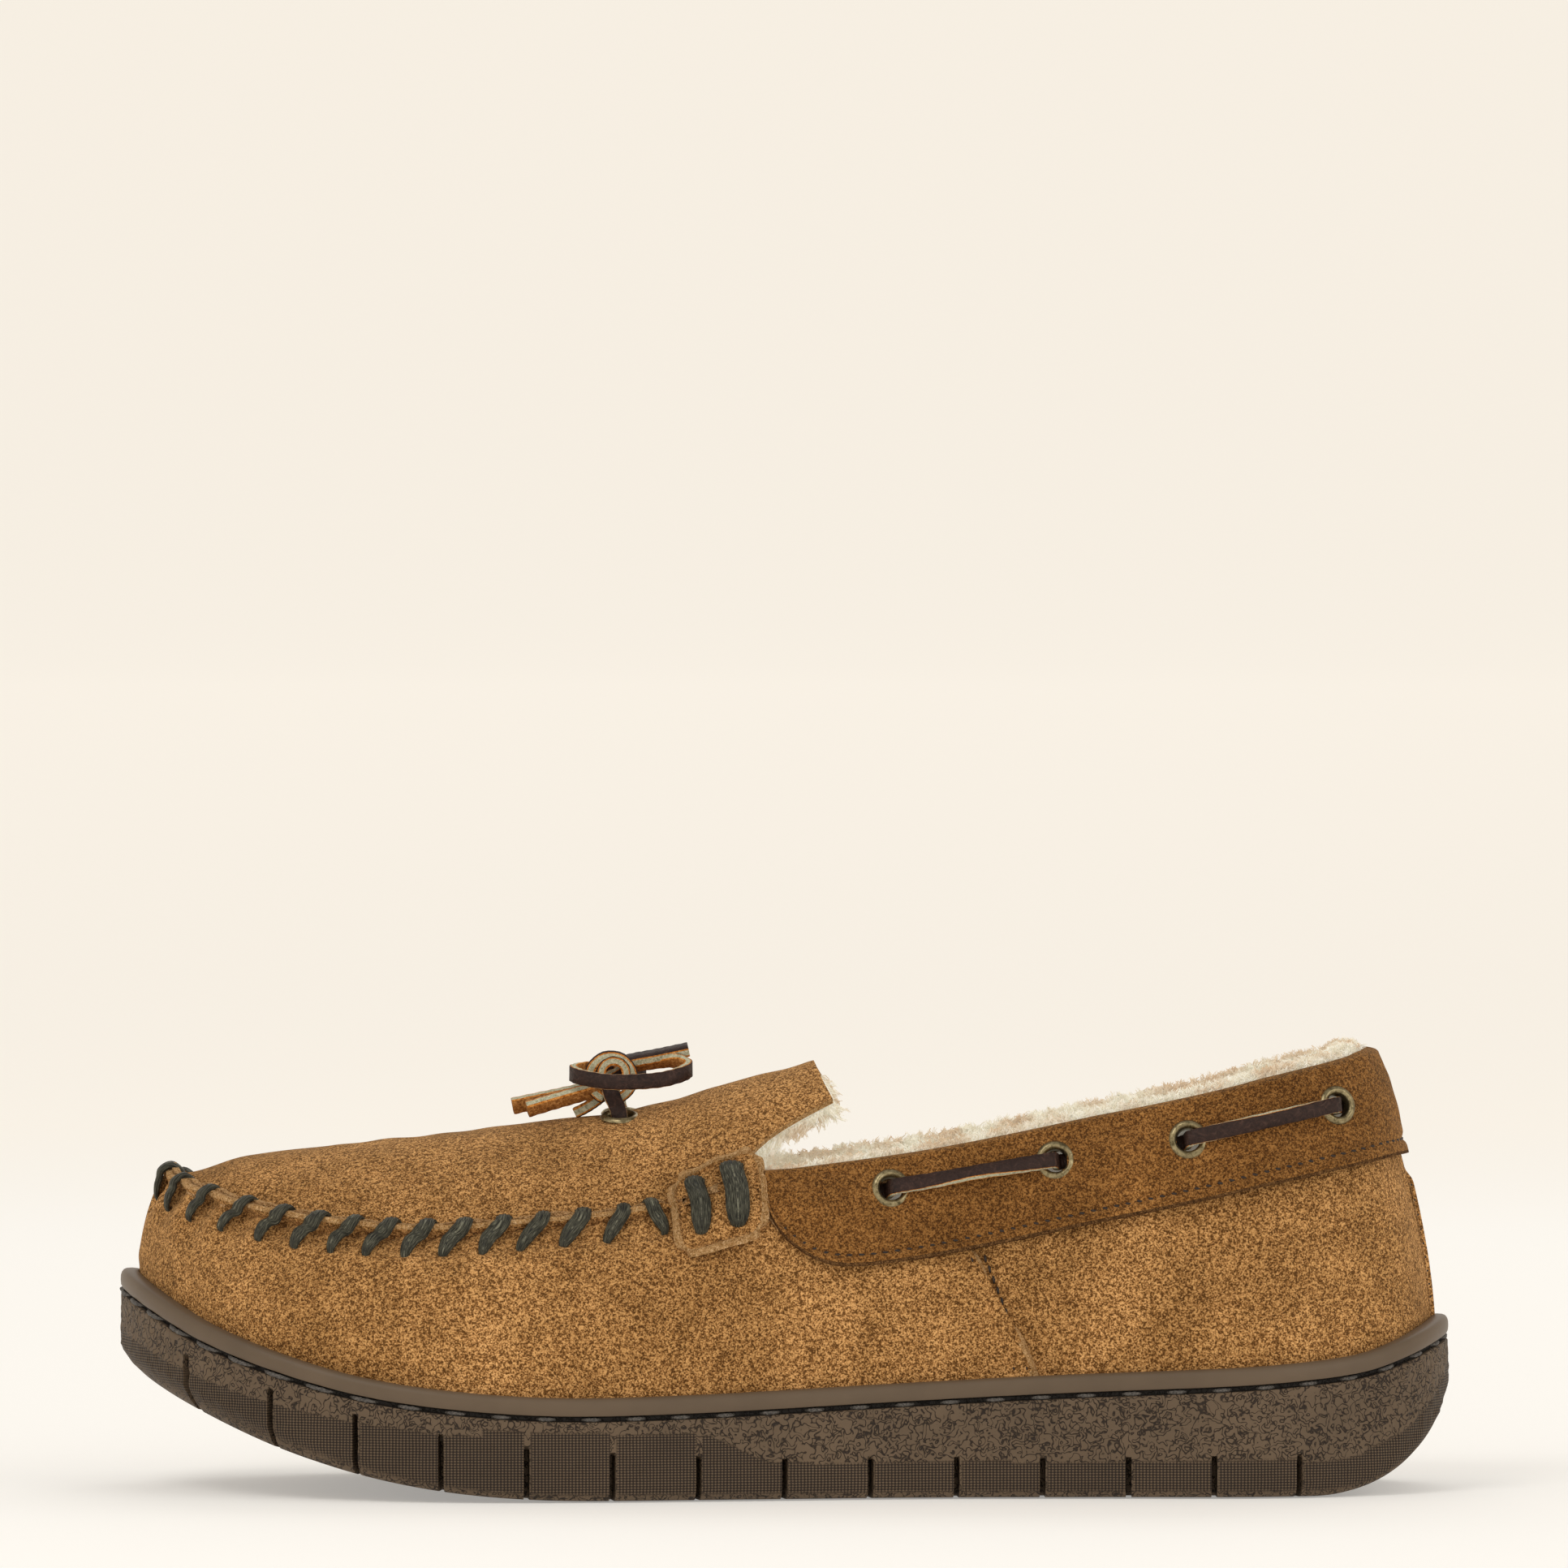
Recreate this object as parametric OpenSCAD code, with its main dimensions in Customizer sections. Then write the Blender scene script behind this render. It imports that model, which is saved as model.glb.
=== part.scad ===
// Moccasin slipper for the left foot: moulded cup sole, suede upper with a whipstitched apron,
// pile lining and leather laces. The toe points to -X, the outer side to -Y, the sole rests on Z = 0.

/* [Part] */
// Node to draw

/* [Sole] */
// Height of the smooth lip above the stitch groove
lip_h = 3.6; // [2.5:0.1:6]
// Depth of the stitch groove
groove_depth = 1.3; // [0.6:0.1:2]
// Thickness of the lip, from its outer face to the upper
lip_w = 4.3; // [3:0.1:6]
// Number of transverse sipes
sipe_count = 14; // [6:1:20]
// Width of a sipe
sipe_w = 1.5; // [0.8:0.1:3]
// Spacing of the sipes
sipe_pitch = 18.95; // [12:0.05:24]
// Spacing of the sole stitches
sole_pitch = 10; // [6:0.5:14]

/* [Leather] */
// Thickness of the suede
suede = 1.5; // [1:0.1:2.5]
// Height of the ridge where the apron meets the vamp
ridge_h = 2.6; // [1.5:0.1:4]
// Thickness of the pile lining
pile = 5; // [3:0.5:8]

/* [Laces and cords] */
// Width of the leather strap
strap_w = 3.4; // [2.5:0.1:5]
// Thickness of the leather strap
strap_t = 1.6; // [1:0.1:2.5]
// Spacing of the whipstitches along the seam
whip_pitch = 8.8; // [5:0.1:12]
// Diameter of the whipstitch cord
whip_d = 2.5; // [1.5:0.1:4]

/* [Eyelets] */
// Outer diameter of an eyelet's flange
eyelet_d = 8.5; // [6:0.1:12]
// Diameter of an eyelet's hole
eyelet_bore = 5; // [3.5:0.1:7]

/* [Hidden] */
$fn = 48;

// Outline of the sole on the ground plan: toe, inner side, heel, outer side
plan_pts = [
    [-148, 8], [-140, 33], [-116, 49], [-80, 54.5], [-42, 51],
    [-5, 42], [32, 36], [70, 36], [108, 38], [138, 26],
    [148, 1], [138, -25], [108, -39.5], [70, -40.5], [32, -42],
    [-6, -48], [-44, -54], [-82, -54], [-116, -43], [-139, -20]
];
stations = len(plan_pts);
heel = stations / 2;
throat = 5;

// Top of the lip over X
lip_line = [
    [-148, 48], [-138, 42.5], [-129, 38], [-114, 32.6], [-95, 27.5], [-75, 24.5], [-50, 22.8],
    [-20, 23.2], [15, 24.8], [60, 27], [96, 28.4], [114, 29.5], [129, 31.3], [139, 34.4], [148, 38.2]
];
// Floor of the cup over X
floor_line = [
    [-148, 35], [-130, 26.5], [-110, 20], [-85, 14.5], [-60, 12], [-40, 11.5],
    [0, 12.5], [40, 15], [80, 17], [120, 18.5], [148, 19.5]
];
// Crown of the apron over X
crown_line = [
    [-137, 69], [-131, 70], [-119, 73.4], [-108, 75], [-80, 78], [-62, 80.3],
    [-45, 82.1], [-35, 83.4], [-21, 87], [-8, 91], [7, 94.7]
];
// How far the upper's top edge leans in, over the station
lean_line = [
    [0, 11], [1, 13], [2, 16], [3, 17.5], [4, 17], [5, 14], [5.5, 12.5],
    [6, 12], [7, 12], [8, 13], [9, 15.5], [10, 17.6]
];
// Height of the upper's top edge, over the station
top_line = [
    [0, 68.2], [1, 64.2], [2, 59.8], [3, 57.6], [4, 60], [4.5, 62.5], [5, 70],
    [5.3, 71.2], [6, 74.8], [7, 82.5], [8, 90.3], [9, 95.4], [10, 96.1]
];
// Depth of the collar band below the top edge, over the station
band_line = [
    [5, 2], [5.06, 2], [5.12, 9], [5.18, 13], [5.26, 16], [5.38, 19.4], [5.55, 21.4], [5.85, 22], [10, 22]
];
// Fullness of the wall, as its Bezier handle's lean and height, over the station
handle_lean = [[0, 0.1], [2, 0], [3, -0.05], [5, -0.02], [7, 0], [10, 0.12]];
handle_rise = [[0, 0.7], [2, 0.75], [4, 0.72], [5, 0.65], [6, 0.55], [8, 0.5], [10, 0.41]];

toe_spring = 25;
toe_spring_start = -40;
heel_bevel = 26;
heel_bevel_start = 118;
heel_bevel_run = 30.5;
margin_drop = 12;
air = 0.1;
// Gap under the apron, wide enough for the facets of two curved sheets
loft = 0.6;
// Reach below the ground of the tools that cut the tread
below = 3;
lining_off = 2 * suede + air;
board_h = 1.5;
board_in = 6.3;
sock_in = lip_w + lining_off + pile + 0.3;
foam_h = 5;
sock_h = 4;
arch_power = 2.3;
tongue_gap = 0.4;
tongue_spread = 0.93;
row_step = 1 / 3;
lap = 6.6;
flange_t = 0.8;

// ---- Numbers -------------------------------------------------------------------------------

function mix(a, b, f) = a + (b - a) * f;
function unit(v) = v / norm(v);
function spline(a, b, c, d, f) =
    0.5 * (2 * b + (c - a) * f + (2 * a - 5 * b + 4 * c - d) * f * f + (3 * b - a - 3 * c + d) * f * f * f);

// Smooth value of a table of [key, value] rows
function cell(t, x, i = 0) = i >= len(t) - 2 || x < t[i + 1][0] ? i : cell(t, x, i + 1);
function slope(t, i) =
    let (a = max(i - 1, 0), b = min(i + 1, len(t) - 1)) (t[b][1] - t[a][1]) / (t[b][0] - t[a][0]);
function smooth(t, x) =
    let (k = min(max(x, t[0][0]), t[len(t) - 1][0]), i = cell(t, k), w = t[i + 1][0] - t[i][0],
         f = (k - t[i][0]) / w, g = 1 - f)
    t[i][1] * (1 + 2 * f) * g * g + t[i + 1][1] * (3 - 2 * f) * f * f
    + slope(t, i) * w * f * g * g - slope(t, i + 1) * w * f * f * g;

// ---- The surface that every part of the upper is offset from ---------------------------
// A station s runs round the outline: 0 is the toe, 10 and -10 the heel, s > 0 the inner side.

function wrap(i) = (i % stations + stations) % stations;
function plan(s) =
    let (i = floor(s), f = s - i)
    spline(plan_pts[wrap(i - 1)], plan_pts[wrap(i)], plan_pts[wrap(i + 1)], plan_pts[wrap(i + 2)], f);
function inward(s) = let (t = unit(plan(s + 0.02) - plan(s - 0.02))) [t.y, -t.x];
function along(s) = let (t = unit(plan(s + 0.02) - plan(s - 0.02))) [t.x, t.y, 0];
function lip_top(s) = smooth(lip_line, plan(s).x);
function cup_floor(s) = smooth(floor_line, plan(s).x);
function top_z(s) = smooth(top_line, abs(s));
function top_in(s) = smooth(lean_line, abs(s));

// Point at a distance in from the outline, at a height
function at(s, d, z) = let (p = plan(s) + inward(s) * d) [p.x, p.y, z];

// Wall of the upper as [distance in, height]: t = 0 at the lip, 1 at the top edge, below 0 in the cup
function wall(s, t) =
    let (z0 = lip_top(s), d0 = lip_w + air, d2 = top_in(s), z2 = top_z(s),
         d1 = mix(d0, d2, smooth(handle_lean, abs(s))), z1 = mix(z0, z2, smooth(handle_rise, abs(s))),
         g = 1 - t)
    t <= 0 ? [d0, z0 + t * margin_drop]
    : [g * g * d0 + 2 * g * t * d1 + t * t * d2, g * g * z0 + 2 * g * t * z1 + t * t * z2];
function wall_in(s, t) =
    let (e = 0.01, a = t - e <= 0 ? wall(s, 0) : wall(s, t - e), b = wall(s, max(t, 0) + e), v = unit(b - a))
    t <= 0 ? [1, 0] : [v[1], -v[0]];
function skin(s, t, off) = let (q = wall(s, t) + off * wall_in(s, t)) at(s, q[0], q[1]);
// Fraction of the wall at a height
function wall_at(s, z) =
    let (z0 = lip_top(s), z2 = top_z(s), z1 = mix(z0, z2, smooth(handle_rise, abs(s))),
         a = z0 - 2 * z1 + z2, b = 2 * (z1 - z0), c = z0 - z)
    abs(a) < 0.01 ? -c / b : (sqrt(b * b - 4 * a * c) - b) / (2 * a);
function below_top(s, drop) = min(1, wall_at(s, top_z(s) - drop));
function band_foot(s) = below_top(s, smooth(band_line, abs(s)));

// Apron: a cross row at station k, w = -1 on the outer seam and 1 on the inner seam
function seam_base(s) = at(s, top_in(s) + 2, top_z(s) + 0.6);
function apron(k, w) =
    let (a = seam_base(-k), b = seam_base(k), m = (a + b) / 2, h = smooth(crown_line, m.x) - m.z)
    mix(a, b, (w + 1) / 2) + [0, 0, h * (1 - pow(abs(w), arch_power))];

// Tongue: f = 0 at the throat crease, 1 at the free edge
function tongue(f, w) =
    let (a = apron(throat, -1), b = apron(throat, 1), mid = (a + b) / 2,
         x = mid.x + tongue_gap + f * (14.5 + 4.2 * w * w),
         half = mix((b.y - a.y) / 2 * tongue_spread, 18, pow(f, 0.8)),
         drop = mix(17.2, 7.4, pow(f, 0.55)))
    [x, mid.y + half * w, smooth(crown_line, mid.x + tongue_gap + f * 14.5) - drop * pow(abs(w), arch_power)];

// ---- Solids from grids of points -------------------------------------------------------------

// Closed solid between two grids of the same size: the second lies inside the first
module slab(outer, inner) {
    rows = len(outer);
    cols = len(outer[0]);
    n = rows * cols;
    function quad(a, b, c, d) = [[a, b, c], [a, c, d]];
    faces = concat(
        [for (i = [0:rows - 2], j = [0:cols - 2], f = quad(i * cols + j, i * cols + j + 1,
            (i + 1) * cols + j + 1, (i + 1) * cols + j)) f],
        [for (i = [0:rows - 2], j = [0:cols - 2], f = quad(n + (i + 1) * cols + j, n + (i + 1) * cols + j + 1,
            n + i * cols + j + 1, n + i * cols + j)) f],
        [for (i = [0:rows - 2], f = quad((i + 1) * cols, n + (i + 1) * cols, n + i * cols, i * cols)) f],
        [for (i = [0:rows - 2], f = quad((i + 1) * cols - 1, n + (i + 1) * cols - 1,
            n + (i + 2) * cols - 1, (i + 2) * cols - 1)) f],
        [for (j = [0:cols - 2], f = quad(j, n + j, n + j + 1, j + 1)) f],
        [for (j = [0:cols - 2], f = quad(n - cols + j + 1, 2 * n - cols + j + 1,
            2 * n - cols + j, n - cols + j)) f]
    );
    polyhedron([for (g = [outer, inner], r = g, p = r) p], faces, convexity = 8);
}

// Closed solid through rings round the outline, from the lowest ring to the highest
module stack(rings) {
    n = len(rings[0]);
    last = (len(rings) - 1) * n;
    h = n / 2;
    faces = concat(
        [for (r = [0:len(rings) - 2], i = [0:n - 1], f = [
            [r * n + i, r * n + (i + 1) % n, (r + 1) * n + (i + 1) % n],
            [r * n + i, (r + 1) * n + (i + 1) % n, (r + 1) * n + i]]) f],
        [[n - 1, 1, 0], [h - 1, h + 1, h]],
        [for (i = [1:h - 2], f = [[n - i, n - i - 1, i + 1], [n - i, i + 1, i]]) f],
        [[last, last + 1, last + n - 1], [last + h, last + h + 1, last + h - 1]],
        [for (i = [1:h - 2], f = [[last + i, last + i + 1, last + n - i - 1],
            [last + i, last + n - i - 1, last + n - i]]) f]
    );
    polyhedron([for (r = rings, p = r) p], faces, convexity = 8);
}

// Section swept along a path, each point with the direction of the section's y axis
module sweep(path, ups, section) {
    n = len(section);
    m = len(path);
    function dir(i) = unit(path[min(i + 1, m - 1)] - path[max(i - 1, 0)]);
    function ring(i) =
        let (t = dir(i), x = unit(cross(ups[i], t)), y = cross(t, x))
        [for (p = section) path[i] + x * p.x + y * p.y];
    faces = concat(
        [for (r = [0:m - 2], i = [0:n - 1], f = [
            [r * n + i, (r + 1) * n + (i + 1) % n, r * n + (i + 1) % n],
            [r * n + i, (r + 1) * n + i, (r + 1) * n + (i + 1) % n]]) f],
        [for (i = [1:n - 2]) [0, i, i + 1]],
        [for (i = [1:n - 2]) [(m - 1) * n, (m - 1) * n + i + 1, (m - 1) * n + i]]
    );
    polyhedron([for (i = [0:m - 1], p = ring(i)) p], faces, convexity = 6);
}

function round_section(d, sides) =
    [for (i = [0:sides - 1]) d / 2 * [cos(360 * i / sides), sin(360 * i / sides)]];
function strap_section() = let (x = strap_t / 2, y = strap_w / 2) [[-x, -y], [x, -y], [x, y], [-x, y]];

// Moves children onto the wall: x forward along the outline, y up the wall, z out of it
module on_skin(s, t, off) {
    x = along(s);
    v = wall_in(s, t);
    n = inward(s);
    z = -[n.x * v[0], n.y * v[0], v[1]];
    y = cross(z, x);
    p = skin(s, t, off);
    multmatrix([[x.x, y.x, z.x, p.x], [x.y, y.y, z.y, p.y], [x.z, y.z, z.z, p.z]]) children();
}

// ---- Sole --------------------------------------------------------------------------------------

function tread_z(x) =
    x < toe_spring_start ? toe_spring * pow((toe_spring_start - x) / 108, 2.2)
    : x > heel_bevel_start ?
        let (run = (min(x, 147.8) - heel_bevel_start) / heel_bevel_run) heel_bevel * (1 - sqrt(1 - run * run))
    : 0;
ring_stations = [for (i = [0:79]) heel + i * stations / 80];
// Ring at a distance in; its height is [share of tread, share of lip top, share of cup floor, rise]
function sole_ring(d, h) =
    [for (s = ring_stations) at(s, d, h * [tread_z(plan(s).x), lip_top(s), cup_floor(s), 1])];

module outsole_body() {
    stack([
        sole_ring(3, [1, 0, 0, 0]),
        sole_ring(0.9, [1, 0, 0, 0.9]),
        sole_ring(0.2, [1, 0, 0, 3]),
        sole_ring(0.3, [0, 1, 0, -lip_h - 2.2]),
        sole_ring(groove_depth + 0.3, [0, 1, 0, -lip_h - 1.6]),
        sole_ring(groove_depth + 0.3, [0, 1, 0, -lip_h - 0.5]),
        sole_ring(0.4, [0, 1, 0, -lip_h]),
        sole_ring(0.5, [0, 1, 0, -0.7]),
        sole_ring(1.3, [0, 1, 0, 0]),
        sole_ring(lip_w - 0.6, [0, 1, 0, 0]),
        sole_ring(lip_w, [0, 1, 0, -0.6]),
        sole_ring(lip_w, [0, 0, 1, 0])
    ]);
}

// A sipe is a slot up the side wall, with a round top
sipe_run = 26;
sipe_start = -132.4;
sipe_depth = 8;
sipe_top = [[-148, 12], [-100, 13], [-60, 11], [0, 8.5], [148, 8.5]];
module sipe(x, side) {
    z = tread_z(x);
    y = side * 47;
    top = z + smooth(sipe_top, x);
    hull() {
        translate([x, y, top]) rotate([90, 0, 0]) cylinder(d = sipe_w, h = sipe_run, center = true, $fn = 12);
        translate([x - sipe_w / 2, y - sipe_run / 2, -below]) cube([sipe_w, sipe_run, 1]);
    }
}

module outsole() {
    color("#4c4136")
    difference() {
        outsole_body();
        for (i = [0:sipe_count - 1], side = [-1, 1]) {
            x = sipe_start + i * sipe_pitch;
            intersection() {
                sipe(x, side);
                sipe_zone();
            }
        }
    }
}

// Rim of the tread that the sipes cut into
module sipe_zone() {
    difference() {
        translate([-150, -60, -below]) cube([300, 120, 60]);
        stack([sole_ring(sipe_depth, [0, 0, 0, -below - 1]), sole_ring(sipe_depth, [0, 0, 0, 40])]);
    }
}

module sole_stitching() {
    gap_z = -lip_h - 1.05;
    color("#1d1a17")
    for (s = march_plan(-heel + 0.1, heel - 0.1)) {
        p = at(s, groove_depth - 0.35, lip_top(s) + gap_z);
        q = at(s + 0.16, groove_depth - 0.35, lip_top(s + 0.16) + gap_z);
        segment(p, q, 0.9);
    }
}

// Stations at the sole stitch spacing
function march_plan(s, end) =
    s > end ? []
    : let (rate = norm(plan(s + 0.05) - plan(s - 0.05)) * 10)
    concat([s], march_plan(s + sole_pitch / rate, end));

// Straight round thread between two points
module segment(p, q, d) {
    v = q - p;
    translate(p) rotate([0, acos(v.z / norm(v)), atan2(v.y, v.x)]) cylinder(d = d, h = norm(v), $fn = 24);
}

module insole_board() {
    color("#b79a6b")
    stack([sole_ring(board_in, [0, 0, 1, air]), sole_ring(board_in, [0, 0, 1, board_h])]);
}

module footbed_foam() {
    color("#d8cfae")
    stack([
        sole_ring(sock_in, [0, 0, 1, board_h + air]),
        sole_ring(sock_in, [0, 0, 1, board_h + foam_h])
    ]);
}

module sock_lining() {
    z = board_h + foam_h;
    color("#efe9d8")
    stack([
        sole_ring(sock_in, [0, 0, 1, z + air]),
        sole_ring(sock_in, [0, 0, 1, z + sock_h - 1]),
        sole_ring(sock_in + 5, [0, 0, 1, z + sock_h])
    ]);
}

// ---- Upper -------------------------------------------------------------------------------------

ladder = [0, 0.2, 0.4, 0.6, 0.8, 0.92];
vamp_rows = [for (i = [-6 / row_step:6 / row_step]) i * row_step];
// Rear edge of the vamp slants forward as it rises
function vamp_edge(t) = 6.64 - 0.5 * max(t, 0);
vamp_drop = [[5, 0], [5.08, 0], [5.4, 11], [5.75, 14], [10, 14]];
function vamp_cut(s) = abs(s) <= throat ? 1 : below_top(s, smooth(vamp_drop, abs(s)));
function ridge(s) = abs(s) < 4.55 ? ridge_h : 0.05;
function margin_foot(s, up = 0) = (cup_floor(s) + air + up - lip_top(s)) / margin_drop;

function upper_row(s, off, cut) =
    concat([skin(s, margin_foot(s), off)], [for (f = ladder) skin(s, f * cut, off)]);
function vamp_out(s) = concat(upper_row(s, 0, vamp_cut(s)), abs(s) <= throat
    ? [at(s, top_in(s) - suede, top_z(s) + 0.05), at(s, top_in(s) - suede, top_z(s) + ridge(s))]
    : [skin(s, vamp_cut(s) * 0.97, 0), skin(s, vamp_cut(s), 0)]);
function vamp_in(s) = concat(upper_row(s, suede, vamp_cut(s)), abs(s) <= throat
    ? [at(s, top_in(s) - air, top_z(s) - 0.4), at(s, top_in(s) - air, top_z(s) + ridge(s))]
    : [skin(s, vamp_cut(s) * 0.97, suede), skin(s, vamp_cut(s), suede)]);
function slanted(side, off, back, up = 0) =
    let (c = vamp_cut(6.2), t = concat([for (f = ladder) f * c], [0.97 * c, c]))
    concat([skin(side * (vamp_edge(0) + back), margin_foot(lap, up), off)],
           [for (f = t) skin(side * (vamp_edge(f) + back), f, off)]);

module vamp() {
    color("#a37746")
    slab(concat([slanted(-1, 0, 0)], [for (s = vamp_rows) vamp_out(s)], [slanted(1, 0, 0)]),
         concat([slanted(-1, suede, 0)], [for (s = vamp_rows) vamp_in(s)], [slanted(1, suede, 0)]));
}

quarter_rows = [7, 7.333, 7.667, 8, 8.333, 8.667, 9, 9.333, 9.667, 9.9];
back_gap = 0.012;
function quarter_row(s, off, lift = 0) =
    let (c = vamp_cut(s), t = concat([for (f = ladder) f * c], [0.97 * c, c]), foot = band_foot(s) - 0.06)
    concat([skin(s, margin_foot(s), off)], [for (f = t) skin(s, f, off - (f > 0.05 && f < foot ? lift : 0))]);

module quarter(side) {
    lapped = [-0.16, 0.02];
    outer = concat([for (b = lapped) slanted(side, suede + air, b, board_h)], [slanted(side, 0, 0.09)],
        [for (s = quarter_rows) quarter_row(side * s, 0)],
        [for (s = [heel - 3.2 * back_gap, heel - back_gap / 2]) quarter_row(side * s, 0, 1.2)]);
    inner = concat([for (b = lapped) slanted(side, 2 * suede, b, board_h)], [slanted(side, suede, 0.09)],
        [for (s = quarter_rows) quarter_row(side * s, suede)],
        [for (s = [heel - 3.2 * back_gap, heel - back_gap / 2]) quarter_row(side * s, suede)]);
    if (side > 0) slab(outer, inner);
    else slab(rev(outer), rev(inner));
}
function rev(v) = [for (i = [len(v) - 1:-1:0]) v[i]];

module quarter_lateral() {
    color("#a37746") quarter(-1);
}

module quarter_medial() {
    color("#a37746") quarter(1);
}

module heel_counter() {
    rows = [for (i = [-6:6]) heel + i * row_step];
    color("#8a6a44")
    slab([for (s = rows) counter_row(fold(s), suede + air)],
         [for (s = rows) counter_row(fold(s), 2 * suede - air)]);
}
function counter_row(s, off) =
    concat([skin(s, margin_foot(s, board_h), off)], [for (t = [0, 0.2, 0.4, 0.52]) skin(s, t, off)]);
// Brings a station past the heel back to -10 to 10
function fold(s) = s > heel ? s - stations : s < -heel ? s + stations : s;

// Collar: a band over the top edge, folded in over the lace channel
collar_half = concat([5.08, 5.12, 5.18, 5.26, 5.38, 5.55, 5.78], [for (i = [0:11]) 6 + i / 3], [9.8]);
collar_all = concat(collar_half, [heel], [for (s = rev(collar_half)) stations - s]);
hem = 4;
function collar_out(s) =
    let (f = band_foot(s), z = top_z(s), d = top_in(s))
    concat([for (i = [0:4]) skin(s, mix(f, 1, i / 4), -suede)],
           [lift_off(s, -1, 0.9), lift_off(s, 0.8, 1.7), lift_off(s, 2.9, 0.9), skin(s, 1, lining_off - air),
            skin(s, max(f, below_top(s, hem)), lining_off - air)]);
function collar_in(s) =
    let (f = band_foot(s), h = max(f, below_top(s, hem)))
    concat([for (i = [0:4]) skin(s, mix(f, mix(f, 1, 0.97), i / 4), -air / 2)],
           [skin(s, mix(f, 1, 0.985), 0.2), skin(s, mix(f, 1, 0.985), 0.9), skin(s, mix(f, 1, 0.985), 1.4),
            skin(s, mix(h, 1, 0.9), lining_off - air - 1.3), skin(s, h, lining_off - air - 1.3)]);
// Point beyond the top edge: off across the wall, up along it
function lift_off(s, off, up) =
    let (v = wall_in(s, 1), q = wall(s, 1) + off * v + up * [-v[1], v[0]]) at(s, q[0], q[1]);

// Eyelets along the band, as [station, share of its height]
collar_eyelets = [[5.81, 0.71], [6.74, 0.69], [7.49, 0.63], [8.58, 0.63]];

module collar() {
    color("#a37746")
    difference() {
        slab([for (s = collar_all) collar_out(fold(s))], [for (s = collar_all) collar_in(fold(s))]);
        for (e = collar_eyelets, side = [-1, 1])
            on_skin(side * e[0], eyelet_t(e), -suede - 1)
                translate([0, 0, -1.4]) cylinder(d = eyelet_bore + 1.3, h = 4);
    }
}
// An eyelet sits at a share of the band's height
function eyelet_t(e) = mix(band_foot(e[0]), 1, e[1]);

// ---- Pile linings --------------------------------------------------------------------------------

function lining_row(s, off, top) =
    concat([skin(s, margin_foot(s, board_h), off)], [for (f = [0, 0.25, 0.5, 0.75]) skin(s, f * top, off)],
           [skin(s, top, off)]);

module vamp_lining() {
    rows = [for (i = [-15:15]) i * row_step];
    color("#efe9d8")
    slab([for (s = rows) lining_row(s, lining_off, 0.9)],
         [for (s = rows) lining_row(s, lining_off + pile, 0.86)]);
}

// Lining row that ends in a rounded rim above the top edge
function rim_row(s, off, round_off) = concat(lining_row(s, off, 1), [lift_off(s, off + round_off, 1.6)]);

module quarter_lining() {
    half = concat([5.08, 5.2], [for (i = [16:30]) i * row_step]);
    back = [for (i = [len(half) - 2:-1:0]) stations - half[i]];
    color("#efe9d8")
    slab([for (s = concat(half, back)) rim_row(fold(s), lining_off, 0.6)],
         [for (s = concat(half, back)) rim_row(fold(s), lining_off + pile, -1)]);
}

// ---- Apron and tongue ------------------------------------------------------------------------------

apron_w = [for (i = [-5:5]) i / 5];
function up_of(v) = unit([0, -v.z, v.y]);
function apron_at(k, w, off) = apron(k, w) - off * up_of(apron(k, w + 0.02) - apron(k, w - 0.02));
function tongue_at(f, w, off) = tongue(f, w) - off * up_of(tongue(f, w + 0.02) - tongue(f, w - 0.02));

function edge_top(s, d) = at(s, top_in(s) + d, top_z(s) + ridge(s));
function edge_foot(s, d, drop) = at(s, top_in(s) + d, top_z(s) - drop);
function apron_row(k, top) =
    let (m = [for (w = apron_w) apron_at(k, w, top ? 0 : suede)])
    top ? concat([edge_top(-k, air), edge_top(-k, suede)], m, [edge_top(k, suede), edge_top(k, air)])
    : concat([edge_foot(-k, air, 0.7), edge_foot(-k, 1, 0.9)], m,
             [edge_foot(k, 1, 0.9), edge_foot(k, air, 0.7)]);
function apron_front(d, height) =
    [for (j = [-7:7]) let (s = j / 7 * row_step) at(s, top_in(s) + d, top_z(s) + height)];

apron_rows = [for (i = [2:15]) i * row_step];
plug_eyelet_w = 0.25;
// Station whose apron row crosses the plug eyelets
plug_eyelet_k = 4.27;

module apron_sheet() {
    front_top = [apron_front(air, ridge_h), apron_front(suede, ridge_h), apron_front(2, 0.6)];
    front_foot = [apron_front(air, -0.7), apron_front(1, -0.9), apron_front(2.2, -0.95)];
    slab(concat(front_top, [for (k = apron_rows) apron_row(k, true)]),
         concat(front_foot, [for (k = apron_rows) apron_row(k, false)]));
}

// Moves children onto the apron, z out of it
module on_apron(k, w) {
    p = apron(k, w);
    z = up_of(apron(k, w + 0.02) - apron(k, w - 0.02));
    y = unit(cross(z, [1, 0, 0]));
    x = cross(y, z);
    multmatrix([[x.x, y.x, z.x, p.x], [x.y, y.y, z.y, p.y], [x.z, y.z, z.z, p.z]]) children();
}

module apron_plug() {
    color("#a37746")
    difference() {
        apron_sheet();
        for (side = [-1, 1])
            on_apron(plug_eyelet_k, side * plug_eyelet_w)
                translate([0, 0, -4]) cylinder(d = eyelet_bore + 1.3, h = 8);
    }
}

module apron_lining() {
    wide = [for (i = [-5:5]) 0.88 * i / 5];
    rows = [for (i = [3:14]) i * row_step];
    ends = concat(rows, [throat - 0.02]);
    color("#efe9d8")
    difference() {
        slab([for (k = ends) [for (w = wide) apron_at(k, w, suede + loft)]],
             [for (k = ends) [for (w = wide) apron_at(k, w, suede + pile)]]);
        for (side = [-1, 1])
            on_apron(plug_eyelet_k, side * plug_eyelet_w)
                translate([0, 0, -9]) cylinder(d = eyelet_d + 1.5, h = 12);
    }
}

tongue_steps = [0, 0.25, 0.5, 0.75, 1];

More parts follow.
